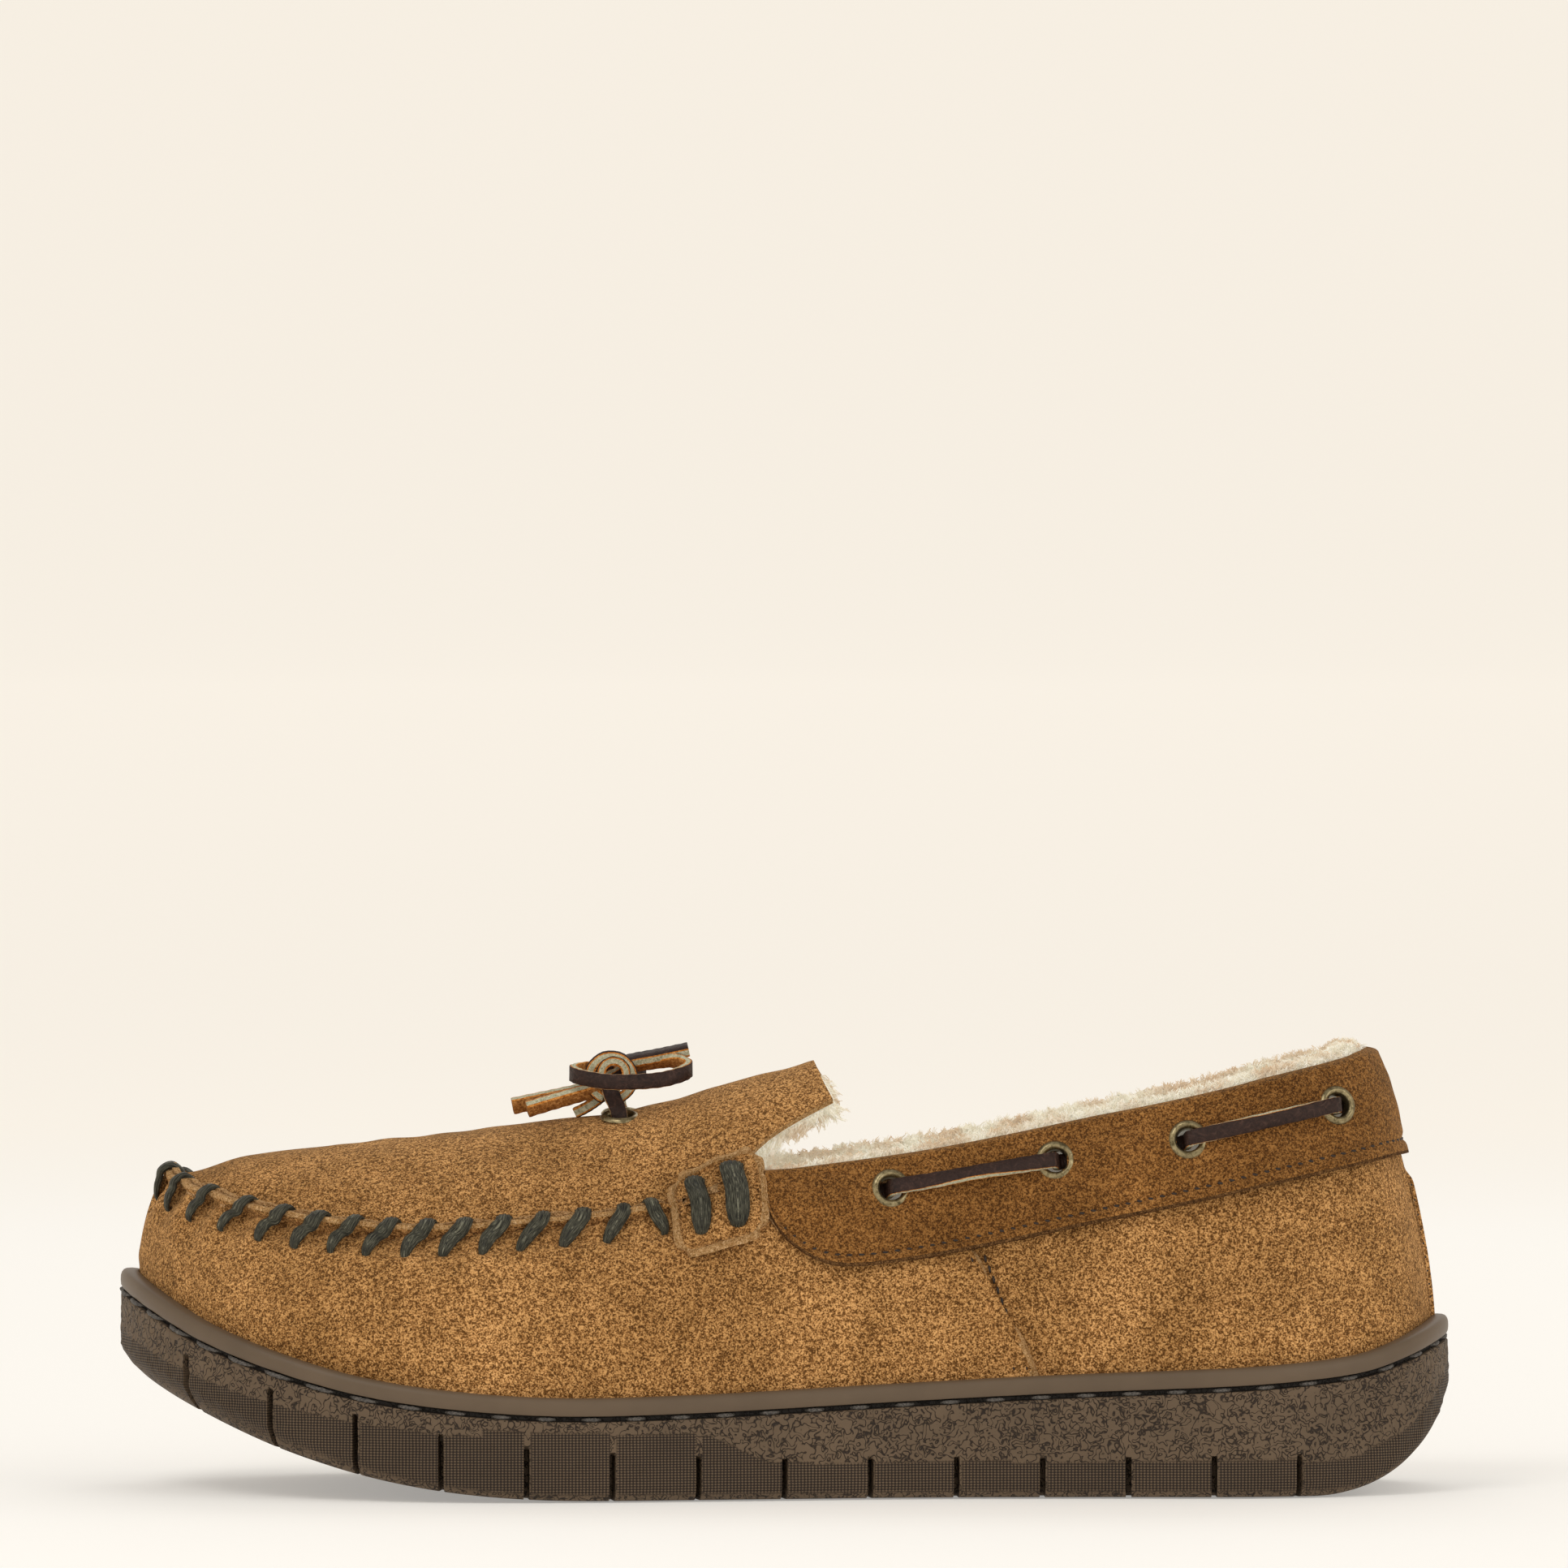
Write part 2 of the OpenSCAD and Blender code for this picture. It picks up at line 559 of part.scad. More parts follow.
module tongue_flap() {
    color("#a37746")
    slab([for (f = tongue_steps) [for (w = apron_w) tongue_at(f, w, 0)]],
         [for (f = tongue_steps) [for (w = apron_w) tongue_at(f, w, suede)]]);
}

module tongue_lining() {
    wide = [for (i = [-5:5]) 0.85 * i / 5];
    color("#efe9d8")
    slab([for (f = tongue_steps) [for (w = wide) tongue_at(f, w, suede + loft)]],
         [for (f = tongue_steps) [for (w = wide) tongue_at(f, w, suede + pile)]]);
}

// Tab lashed over the rear end of the seam
module throat_tab(side) {
    rows = [4.56, 4.68, 4.8, 4.92, 5.03];
    function low(s) = wall_at(s, s < 4.6 ? 56.6 : s < 5 ? 55 : 58);
    function high(s) = s < 5 ? 1 : 0.9;
    function low_part(s, off) = [for (f = [0, 0.34, 0.67, 0.94]) skin(side * s, mix(low(s), high(s), f), -off)];
    // The rear row stops short of the tongue
    function top_part(s, off) =
        s < 5 ? [for (w = [0.97, 0.9]) apron_at(s, side * w, -off - 0.25)]
        : [for (f = [0.92, 0.98]) skin(side * s, f, -off)];
    function row(s, off) = concat(low_part(s, off), top_part(s, off));
    outer = [for (s = rows) row(s, 0.2 + suede)];
    inner = [for (s = rows) row(s, 0.2)];
    if (side > 0) slab(outer, inner);
    else slab(rev(outer), rev(inner));
}

module throat_tab_lateral() {
    color("#a37746") throat_tab(-1);
}

module throat_tab_medial() {
    color("#a37746") throat_tab(1);
}

// ---- Stitches ------------------------------------------------------------------------------------

function seam(s) = at(s, top_in(s), top_z(s));
function march_seam(s, end) =
    s > end ? []
    : let (rate = norm(seam(s + 0.05) - seam(s - 0.05)) * 10)
    concat([s], march_seam(s + whip_pitch / rate, end));

// One whipstitch over the ridge, leaning back towards the heel where lean > 0
module whipstitch(s, side, lean = 0.1) {
    r = whip_d / 2;
    a = side * (s - lean);
    b = side * (s + lean);
    c = side * s;
    path = [
        skin(a, 0.8, 0.4),
        skin(a, 0.86, -r - 0.1),
        at(c, top_in(s) - suede - r - 0.1, top_z(s) + ridge_h - 0.6),
        at(c, top_in(s), top_z(s) + ridge_h + r + 0.1),
        at(b, top_in(s) + suede + r + 0.2, top_z(s) + ridge_h - 0.4),
        at(b, top_in(s) + suede + r + 1.2, top_z(s) + 0.2)
    ];
    sweep(path, [for (p = path) along(c)], round_section(whip_d, 6));
}

// The last stitch leans the other way
module whipstitches(side) {
    color("#46463c") {
        for (s = march_seam(0.12, 4.36)) whipstitch(s, side);
        whipstitch(4.45, side, -0.06);
    }
}

module whipstitch_lateral() {
    whipstitches(-1);
}

module whipstitch_medial() {
    whipstitches(1);
}

// Two thick ties over a tab
module tab_ties(side) {
    for (s = [4.7, 4.88]) {
        path = [
            skin(side * (s + 0.06), wall_at(s, 59), 0.4),
            skin(side * (s + 0.06), wall_at(s, 60), -suede - 1.4),
            skin(side * (s + 0.03), 0.94, -suede - 1.6),
            apron_at(s, side * 0.94, -suede - 1.7),
            apron_at(s - 0.02, side * 0.86, -suede - 0.8),
            apron_at(s - 0.02, side * 0.82, 0.4)
        ];
        sweep(path, [for (p = path) along(side * s)], [for (p = round_section(1, 8)) [2.2 * p.x, 4.8 * p.y]]);
    }
}

module tab_ties_lateral() {
    color("#46463c") tab_ties(-1);
}

module tab_ties_medial() {
    color("#46463c") tab_ties(1);
}

// Short flat stitch lying on the skin, along the outline unless it is turned
module flat_stitch(s, t, off, turn = 0) {
    on_skin(s, t, off) rotate(turn) cube([1.5, 0.6, 0.5], center = true);
}

module collar_stitching() {
    count = 58;
    color("#3a2c1e")
    for (i = [0:count - 1], side = [-1, 1]) {
        s = mix(5.42, 9.93, i / (count - 1));
        flat_stitch(side * s, band_foot(s) + 0.045, -suede);
    }
}

module vamp_seam_stitching(side) {
    count = 10;
    for (i = [0:count - 1], back = [0.06, 0.14]) {
        t = mix(0.04, 0.46, i / (count - 1));
        flat_stitch(side * (vamp_edge(t) - back), t, 0, 78);
    }
}

module vamp_stitching_lateral() {
    color("#5a4326") vamp_seam_stitching(-1);
}

module vamp_stitching_medial() {
    color("#5a4326") vamp_seam_stitching(1);
}

module heel_seam_stitching() {
    color("#5a4326")
    for (i = [0:8])
        on_skin(heel, mix(0.08, band_foot(heel) - 0.12, i / 8), -0.55) cube([3.2, 0.6, 0.5], center = true);
}

// ---- Eyelets -------------------------------------------------------------------------------------

// Eyelet with its flange on z = 0 and its barrel down through the leather
module eyelet() {
    r = eyelet_bore / 2;
    big = eyelet_d / 2;
    color("#8a7d5c")
    rotate_extrude() {
        translate([big - flange_t / 2, flange_t / 2 + 0.05]) circle(d = flange_t);
        translate([r, 0.05]) square([big - flange_t / 2 - r, flange_t]);
        translate([r, -suede - 0.6]) square([0.4, suede + 1]);
    }
}

// Washer that the barrel is rolled over, inside the leather
module eyelet_washer() {
    color("#8a7d5c")
    translate([0, 0, -suede - 0.65])
    difference() {
        cylinder(d = eyelet_d - 1, h = 0.6);
        translate([0, 0, -1]) cylinder(r = eyelet_bore / 2 + 0.5, h = 3);
    }
}

module collar_place(side, i) {
    e = collar_eyelets[i];
    on_skin(side * e[0], eyelet_t(e), -suede) children();
}

module eyelet_lateral_1() collar_place(-1, 0) eyelet();
module eyelet_lateral_2() collar_place(-1, 1) eyelet();
module eyelet_lateral_3() collar_place(-1, 2) eyelet();
module eyelet_lateral_4() collar_place(-1, 3) eyelet();
module eyelet_medial_1() collar_place(1, 0) eyelet();
module eyelet_medial_2() collar_place(1, 1) eyelet();
module eyelet_medial_3() collar_place(1, 2) eyelet();
module eyelet_medial_4() collar_place(1, 3) eyelet();
module eyelet_plug_lateral() on_apron(plug_eyelet_k, -plug_eyelet_w) eyelet();
module eyelet_plug_medial() on_apron(plug_eyelet_k, plug_eyelet_w) eyelet();

module washers() {
    for (i = [0:3], side = [-1, 1]) collar_place(side, i) eyelet_washer();
    for (side = [-1, 1]) on_apron(plug_eyelet_k, side * plug_eyelet_w) eyelet_washer();
}

// ---- Laces ---------------------------------------------------------------------------------------

inside_off = 1.6;
outside_off = -3.5;
// Strap passing out through an eyelet (way = 1) or back in (way = -1), as [station, band share, off]
pass_route = [
    [-0.11, inside_off], [-0.04, inside_off - 0.2], [-0.012, 0.7], [-0.004, -0.6],
    [0.004, -2.2], [0.02, -3.1], [0.075, outside_off]
];
function pass(e, way) =
    way > 0 ? [for (q = pass_route) [e[0] + q[0], e[1], q[1]]]
    : [for (q = rev(pass_route)) [e[0] - q[0], e[1], q[1]]];
lace_half = concat(
    [[5.5, 0.7, inside_off]],
    pass(collar_eyelets[0], 1),
    [[6.13, 0.71, outside_off], [6.46, 0.7, outside_off]],
    pass(collar_eyelets[1], -1),
    [[7.12, 0.66, inside_off]],
    pass(collar_eyelets[2], 1),
    [[7.88, 0.63, outside_off], [8.24, 0.63, outside_off]],
    pass(collar_eyelets[3], -1),
    [for (i = [0:4]) [8.86 + i * 0.27, 0.6, inside_off]]
);
function lace_point(side, q) = skin(side * q[0], mix(band_foot(q[0]), 1, q[1]), q[2]);
function lace_up(side, q) =
    let (t = mix(band_foot(q[0]), 1, q[1]))
    unit(skin(side * q[0], t + 0.02, q[2]) - skin(side * q[0], t - 0.02, q[2]));

module collar_lace() {
    back = rev(lace_half);
    middle = [heel, 0.6, inside_off];
    near = [for (q = lace_half) lace_point(-1, q)];
    path = concat(near, [lace_point(1, middle)], [for (q = back) lace_point(1, q)]);
    ups = concat([for (q = lace_half) lace_up(-1, q)], [lace_up(1, middle)], [for (q = back) lace_up(1, q)]);
    color("#3a2825") sweep(path, ups, strap_section());
}

// Bow: strap routes over the apron, as [x, y, z]
bow_loop = [
    [-37, -4.5, 94.6], [-30, -3, 95], [-24.5, -4.5, 94.8], [-21.6, -8.5, 93.6], [-22.9, -12.6, 92.4],
    [-27, -14.3, 91.6], [-33, -15, 91], [-39, -14.8, 91], [-44.5, -12.8, 91.8], [-46.9, -9, 92.5],
    [-45, -6, 93.2], [-40, -5, 94]
];
bow_small_loop = [
    [-37.5, -3, 92], [-42, -0.5, 91.8], [-45, 3, 91.2], [-43, 6.5, 90.8], [-38, 8, 90.8], [-33, 7.5, 91.2],
    [-31.5, 4.5, 92], [-35, 0, 92.4]
];
bow_rear_end = [[-37.5, -4.5, 95.0], [-31, -4, 95.4], [-26, -3.5, 96.2], [-21, -3.5, 97.2]];
bow_front_end = [[-39.5, -6, 89.4], [-47, -7.5, 87.2], [-57, -9, 84.4]];
bow_far_end = [[-40, -3, 89.2], [-50, -3.6, 86.8], [-60.3, -4.5, 84.9]];

module bow_strap(path, up) {
    sweep(path, [for (p = path) up], strap_section());
}

bow_centre = [-38.4, -5, 91.3];

module bow_knot() {
    turns = 12;
    function lump(i) = let (a = 360 * i / turns) bow_centre + [4.2 * cos(a), 2 * sin(2 * a), 4.2 * sin(a)];
    for (i = [0:turns - 1]) hull() {
        translate(lump(i)) sphere(d = 3, $fn = 12);
        translate(lump(i + 1)) sphere(d = 3, $fn = 12);
    }
}

module bow_leg(side) {
    foot = apron(plug_eyelet_k, side * plug_eyelet_w);
    path = [
        foot - [0, 0, 2.4], foot + [0, 0, 1.5], mix(foot, bow_centre, 0.6), bow_centre + [0, side, -2]
    ];
    sweep(path, [for (p = path) [1, 0, 0]], strap_section());
}

module bow() {
    color("#3a2825") {
        bow_strap(bow_loop, [0, 0, 1]);
        bow_strap(bow_small_loop, [0, 0, 1]);
        bow_strap(bow_rear_end, [0, -0.5, 0.87]);
        bow_strap(bow_front_end, [0, 0, 1]);
        bow_strap(bow_far_end, [0, 0, 1]);
        bow_knot();
        for (side = [-1, 1]) bow_leg(side);
    }
}

outsole();
sole_stitching();
insole_board();
footbed_foam();
sock_lining();
vamp();
quarter_lateral();
quarter_medial();
heel_counter();
collar();
apron_plug();
tongue_flap();
throat_tab_lateral();
throat_tab_medial();
vamp_lining();
quarter_lining();
apron_lining();
tongue_lining();
whipstitch_lateral();
whipstitch_medial();
tab_ties_lateral();
tab_ties_medial();
collar_stitching();
vamp_stitching_lateral();
vamp_stitching_medial();
heel_seam_stitching();
eyelet_lateral_1();
eyelet_lateral_2();
eyelet_lateral_3();
eyelet_lateral_4();
eyelet_medial_1();
eyelet_medial_2();
eyelet_medial_3();
eyelet_medial_4();
eyelet_plug_lateral();
eyelet_plug_medial();
washers();
collar_lace();
bow();
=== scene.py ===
"""Looks of the moccasin slipper: suede upper, whipstitched apron, laces, wool pile and moulded sole.

Lengths in the shape functions are millimetres, as in the part's own source; meshes are made in metres.
A station s runs round the sole's outline: 0 is the toe, 10 and -10 the heel, s > 0 the inner side.
"""

import math

import bmesh
import bpy
import numpy as np
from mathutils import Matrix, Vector


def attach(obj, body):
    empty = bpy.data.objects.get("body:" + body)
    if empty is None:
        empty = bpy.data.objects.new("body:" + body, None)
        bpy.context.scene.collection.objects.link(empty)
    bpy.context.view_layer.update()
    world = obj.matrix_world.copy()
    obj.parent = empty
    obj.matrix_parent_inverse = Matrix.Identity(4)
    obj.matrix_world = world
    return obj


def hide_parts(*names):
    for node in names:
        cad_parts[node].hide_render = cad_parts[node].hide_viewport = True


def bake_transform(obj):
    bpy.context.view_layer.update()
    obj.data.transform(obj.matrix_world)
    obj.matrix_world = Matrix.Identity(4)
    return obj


MM = 0.001
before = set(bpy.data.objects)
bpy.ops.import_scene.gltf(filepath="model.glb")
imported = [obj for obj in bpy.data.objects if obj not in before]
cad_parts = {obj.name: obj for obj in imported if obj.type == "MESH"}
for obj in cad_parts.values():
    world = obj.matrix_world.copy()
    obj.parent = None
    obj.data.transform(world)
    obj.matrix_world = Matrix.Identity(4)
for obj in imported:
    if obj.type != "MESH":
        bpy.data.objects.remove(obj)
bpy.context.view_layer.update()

# ---- Driving sizes, as in the part ---------------------------------------------------------------

SUEDE = 1.5
RIDGE = 2.6
PILE = 5.0
LIP_H = 3.6
LIP_W = 4.3
WHIP_PITCH = 8.8
SOLE_PITCH = 10.0
SIPES = 14
SIPE_W = 1.3
SIPE_PITCH = 18.95
SIPE_START = -132.4
LOZENGE = 0.0015
AIR = 0.1
LOFT = 0.6
LINING_OFF = 2 * SUEDE + AIR
BOARD_H = 1.5
FOAM_H = 5.0
SOCK_H = 4.0
SOCK_IN = LIP_W + LINING_OFF + PILE + 0.3
MARGIN_DROP = 12.0
ARCH_POWER = 2.3
HEEL = 10.0
MIDDLE = (0, 0, 45)
THROAT = 5.0
TONGUE_GAP = 0.4
TONGUE_SPREAD = 0.93
EYELET_K = 4.27
EYELET_W = 0.25
COLLAR_EYELETS = [(5.81, 0.71), (6.74, 0.69), (7.49, 0.63), (8.58, 0.63)]

PLAN = np.array([
    (-148, 8), (-140, 33), (-116, 49), (-80, 54.5), (-42, 51),
    (-5, 42), (32, 36), (70, 36), (108, 38), (138, 26),
    (148, 1), (138, -25), (108, -39.5), (70, -40.5), (32, -42),
    (-6, -48), (-44, -54), (-82, -54), (-116, -43), (-139, -20),
], float)


def rows(*pairs):
    return np.array(pairs, float)


LIP_LINE = rows(
    (-148, 48), (-138, 42.5), (-129, 38), (-114, 32.6), (-95, 27.5), (-75, 24.5), (-50, 22.8),
    (-20, 23.2), (15, 24.8), (60, 27), (96, 28.4), (114, 29.5), (129, 31.3), (139, 34.4), (148, 38.2),
)
FLOOR_LINE = rows(
    (-148, 35), (-130, 26.5), (-110, 20), (-85, 14.5), (-60, 12), (-40, 11.5),
    (0, 12.5), (40, 15), (80, 17), (120, 18.5), (148, 19.5),
)
CROWN_LINE = rows(
    (-137, 69), (-131, 70), (-119, 73.4), (-108, 75), (-80, 78), (-62, 80.3),
    (-45, 82.1), (-35, 83.4), (-21, 87), (-8, 91), (7, 94.7),
)
LEAN_LINE = rows(
    (0, 11), (1, 13), (2, 16), (3, 17.5), (4, 17), (5, 14), (5.5, 12.5),
    (6, 12), (7, 12), (8, 13), (9, 15.5), (10, 17.6),
)
TOP_LINE = rows(
    (0, 68.2), (1, 64.2), (2, 59.8), (3, 57.6), (4, 60), (4.5, 62.5), (5, 70),
    (5.3, 71.2), (6, 74.8), (7, 82.5), (8, 90.3), (9, 95.4), (10, 96.1),
)
BAND_LINE = rows(
    (5, 2), (5.06, 2), (5.12, 9), (5.18, 13), (5.26, 16), (5.38, 19.4), (5.55, 21.4), (5.85, 22), (10, 22),
)
HANDLE_LEAN = rows((0, 0.1), (2, 0), (3, -0.05), (5, -0.02), (7, 0), (10, 0.12))
HANDLE_RISE = rows((0, 0.7), (2, 0.75), (4, 0.72), (5, 0.65), (6, 0.55), (8, 0.5), (10, 0.41))
VAMP_CUT = rows((5, 0), (5.08, 0), (5.4, 11), (5.75, 14), (10, 14))
SIPE_TOP = rows((-148, 12), (-100, 13), (-60, 11), (0, 8.5), (148, 8.5))

# ---- Shape of the upper, on whole arrays of stations -----------------------------------------------


def smooth(table, x):
    """Smooth value of a table of (key, value) rows."""
    xs, ys = table[:, 0], table[:, 1]
    n = len(xs)
    low, high = np.maximum(np.arange(n) - 1, 0), np.minimum(np.arange(n) + 1, n - 1)
    slope = (ys[high] - ys[low]) / (xs[high] - xs[low])
    x = np.clip(x, xs[0], xs[-1])
    i = np.clip(np.searchsorted(xs, x, side="right") - 1, 0, n - 2)
    w = xs[i + 1] - xs[i]
    f = (x - xs[i]) / w
    g = 1 - f
    return (ys[i] * (1 + 2 * f) * g * g + ys[i + 1] * (3 - 2 * f) * f * f
            + slope[i] * w * f * g * g - slope[i + 1] * w * f * f * g)


def mix(a, b, f):
    return a + (b - a) * f


def unit(v):
    return v / np.linalg.norm(v, axis=-1, keepdims=True)


def cubic(a, b, c, d, f):
    """Smooth curve from b to c, with a and d as the points before and after."""
    return 0.5 * (2 * b + (c - a) * f + (2 * a - 5 * b + 4 * c - d) * f**2 + (3 * b - a - 3 * c + d) * f**3)


def plan(s):
    """Point of the sole's outline at a station."""
    s = np.asarray(s, float)
    i = np.floor(s).astype(int)
    f = (s - i)[..., None]
    a, b, c, d = (PLAN[(i + k) % len(PLAN)] for k in (-1, 0, 1, 2))
    return cubic(a, b, c, d, f)


def heading(s):
    return unit(plan(np.asarray(s) + 0.02) - plan(np.asarray(s) - 0.02))


def inward(s):
    t = heading(s)
    return np.stack([t[..., 1], -t[..., 0]], -1)


def lip_top(s):
    return smooth(LIP_LINE, plan(s)[..., 0])


def cup_floor(s):
    return smooth(FLOOR_LINE, plan(s)[..., 0])


def top_z(s):
    return smooth(TOP_LINE, np.abs(s))


def top_in(s):
    return smooth(LEAN_LINE, np.abs(s))


def at(s, d, z):
    """Points a distance in from the outline, at a height."""
    s, d, z = np.broadcast_arrays(s, d, z)
    p = plan(s) + inward(s) * d[..., None]
    return np.concatenate([p, z[..., None]], -1)


def wall(s, t):
    z0, d2, z2 = lip_top(s), top_in(s), top_z(s)
    d0 = LIP_W + AIR
    d1 = mix(d0, d2, smooth(HANDLE_LEAN, np.abs(s)))
    z1 = mix(z0, z2, smooth(HANDLE_RISE, np.abs(s)))
    g = 1 - t
    d = np.where(t <= 0, d0, g * g * d0 + 2 * g * t * d1 + t * t * d2)
    z = np.where(t <= 0, z0 + t * MARGIN_DROP, g * g * z0 + 2 * g * t * z1 + t * t * z2)
    return d, z


def wall_in(s, t):
    """Direction into the foot across the wall, as distance in and height."""
    e = 0.01
    a, b = wall(s, np.maximum(t - e, 0)), wall(s, np.maximum(t, 0) + e)
    v = unit(np.stack([b[0] - a[0], b[1] - a[1]], -1))
    flat = t <= 0
    return np.where(flat, 1, v[..., 1]), np.where(flat, 0, -v[..., 0])


def skin(s, t, off):
    s, t, off = np.broadcast_arrays(np.asarray(s, float), np.asarray(t, float), np.asarray(off, float))
    d, z = wall(s, t)
    nd, nz = wall_in(s, t)
    return at(s, d + off * nd, z + off * nz)


def wall_at(s, z):
    z0, z2 = lip_top(s), top_z(s)
    z1 = mix(z0, z2, smooth(HANDLE_RISE, np.abs(s)))
    a, b, c = z0 - 2 * z1 + z2, 2 * (z1 - z0), z0 - z
    root = np.sqrt(np.maximum(b * b - 4 * a * c, 0))
    bent = np.abs(a) >= 0.01
    return np.where(bent, (root - b) / (2 * np.where(bent, a, 1)), -c / b)


def below_top(s, drop):
    return np.minimum(1, wall_at(s, top_z(s) - drop))


def band_foot(s):
    return below_top(s, smooth(BAND_LINE, np.abs(s)))


def beyond(s, off, up):
    """Points past the top edge: off across the wall, up along it."""
    d, z = wall(s, np.ones_like(s))
    nd, nz = wall_in(s, np.ones_like(s))
    return at(s, d + off * nd - up * nz, z + off * nz + up * nd)


def apron(k, w):
    k, w = np.broadcast_arrays(np.asarray(k, float), np.asarray(w, float))
    a = at(-k, top_in(k) + 2, top_z(k) + 0.6)
    b = at(k, top_in(k) + 2, top_z(k) + 0.6)
    m = (a + b) / 2
    p = mix(a, b, ((w + 1) / 2)[..., None])
    p[..., 2] += (smooth(CROWN_LINE, m[..., 0]) - m[..., 2]) * (1 - np.abs(w) ** ARCH_POWER)
    return p


def tongue(f, w):
    f, w = np.broadcast_arrays(np.asarray(f, float), np.asarray(w, float))
    a, b = apron(THROAT, -1.0), apron(THROAT, 1.0)
    mid = (a + b) / 2
    half = mix((b[1] - a[1]) / 2 * TONGUE_SPREAD, 18, f**0.8)
    x = mid[0] + TONGUE_GAP + f * (14.5 + 4.2 * w * w)
    drop = mix(17.2, 7.4, f**0.55)
    z = smooth(CROWN_LINE, mid[0] + TONGUE_GAP + f * 14.5) - drop * np.abs(w) ** ARCH_POWER
    return np.stack([x, mid[1] + half * w, z], -1)


def seam_line(s):
    return at(s, top_in(s), top_z(s))


def march(line, start, end, pitch):
    """Stations from start to end that lie a pitch apart on a line."""
    s = np.linspace(start, end, 4000)
    p = line(s)
    length = np.concatenate([[0], np.cumsum(np.linalg.norm(np.diff(p, axis=0), axis=1))])
    return np.interp(np.arange(0, length[-1], pitch), length, s)


# ---- Meshes --------------------------------------------------------------------------------------


def new_object(name, points, faces, materials, indices=None):
    mesh = bpy.data.meshes.new(name)
    faces = faces.tolist() if hasattr(faces, "tolist") else faces
    mesh.from_pydata((np.asarray(points) * MM).tolist(), [], faces)
    for m in materials:
        mesh.materials.append(m)
    if indices is not None:
        mesh.polygons.foreach_set("material_index", np.asarray(indices, np.int32))
    mesh.polygons.foreach_set("use_smooth", np.full(len(mesh.polygons), True))
    mesh.update()
    ob = bpy.data.objects.new(name, mesh)
    bpy.context.scene.collection.objects.link(ob)
    return ob


def grid_faces(r, c, start=0, wrap=False):
    i, j = np.meshgrid(np.arange(r if wrap else r - 1), np.arange(c - 1), indexing="ij")
    a = start + i * c + j
    b = start + ((i + 1) % r) * c + j
    return np.stack([a, a + 1, b + 1, b], -1).reshape(-1, 4)


def slab(name, outer, inner, material):
    """Closed sheet between two grids."""
    r, c = outer.shape[:2]
    n = r * c
    top = grid_faces(r, c)
    i, j = np.arange(r - 1), np.arange(c - 1)
    rim = [
        np.stack([(i + 1) * c, n + (i + 1) * c, n + i * c, i * c], -1),
        np.stack([i * c + c - 1, n + i * c + c - 1, n + (i + 1) * c + c - 1, (i + 1) * c + c - 1], -1),
        np.stack([j, n + j, n + j + 1, j + 1], -1),
        np.stack([n - c + j + 1, 2 * n - c + j + 1, 2 * n - c + j, n - c + j], -1),
    ]
    faces = np.concatenate([top, (top + n)[:, ::-1]] + rim)
    ob = new_object(name, np.concatenate([outer.reshape(-1, 3), inner.reshape(-1, 3)]), faces, [material])
    outward(ob)
    crease_rim(ob, 50)
    return ob


def outward(ob):
    """Turns the faces out if the mesh's volume comes out negative."""
    me = ob.data
    me.calc_loop_triangles()
    n = len(me.loop_triangles)
    tri = np.empty(n * 3, np.int32)
    me.loop_triangles.foreach_get("vertices", tri)
    co = np.empty(len(me.vertices) * 3)
    me.vertices.foreach_get("co", co)
    p = co.reshape(-1, 3)[tri.reshape(-1, 3)]
    if np.einsum("ij,ij->i", p[:, 0], np.cross(p[:, 1], p[:, 2])).sum() < 0:
        me.flip_normals()


def crease_rim(ob, degrees):
    """Marks edges sharper than an angle, so that shading breaks there."""
    ob.data.set_sharp_from_angle(angle=math.radians(degrees))


def spline_path(points, per=6):
    """Smooth path through given points."""
    p = np.asarray(points, float)
    f = np.linspace(0, 1, per, endpoint=False)[:, None]
    last = len(p) - 1
    out = [cubic(p[max(i - 1, 0)], p[i], p[i + 1], p[min(i + 2, last)], f) for i in range(last)]
    return np.concatenate(out + [p[-1:]])


def sweep(path, ups, section):
    """Rings of a section carried along a path, its y axis as near to ups as can be.
    section is (points, 2) or (rings, points, 2)."""
    along = unit(np.gradient(path, axis=0))
    x = unit(np.cross(ups, along))
    y = np.cross(along, x)
    section = np.broadcast_to(section, (len(path),) + section.shape[-2:])
    return path[:, None] + x[:, None] * section[..., :1] + y[:, None] * section[..., 1:]


def tube_faces(r, n, start):
    i, j = np.meshgrid(np.arange(r - 1), np.arange(n), indexing="ij")
    a, b = start + i * n + j, start + i * n + (j + 1) % n
    return np.stack([a, a + n, b + n, b], -1).reshape(-1, 4)


def merge_tubes(name, tubes, materials, columns=None):
    """One object from several swept tubes, closed with fans. columns gives each section side a material."""
    points, faces, kinds, start = [], [], [], 0
    for rings in tubes:
        r, n = rings.shape[:2]
        points.append(rings.reshape(-1, 3))
        points.append(rings[[0, -1]].mean(axis=1))
        side = tube_faces(r, n, start)
        faces += side.tolist()
        kinds += (np.zeros(len(side), int) if columns is None else np.tile(columns, r - 1)).tolist()
        a, b = start + r * n, start + r * n + 1
        last = start + (r - 1) * n
        cap = 0 if columns is None else int(max(columns))
        for j in range(n):
            faces.append([a, start + j, start + (j + 1) % n])
            faces.append([b, last + (j + 1) % n, last + j])
            kinds += [cap, cap]
        start += r * n + 2
    ob = new_object(name, np.concatenate(points), faces, materials, kinds)
    outward(ob)
    return ob


# ---- Materials -----------------------------------------------------------------------------------


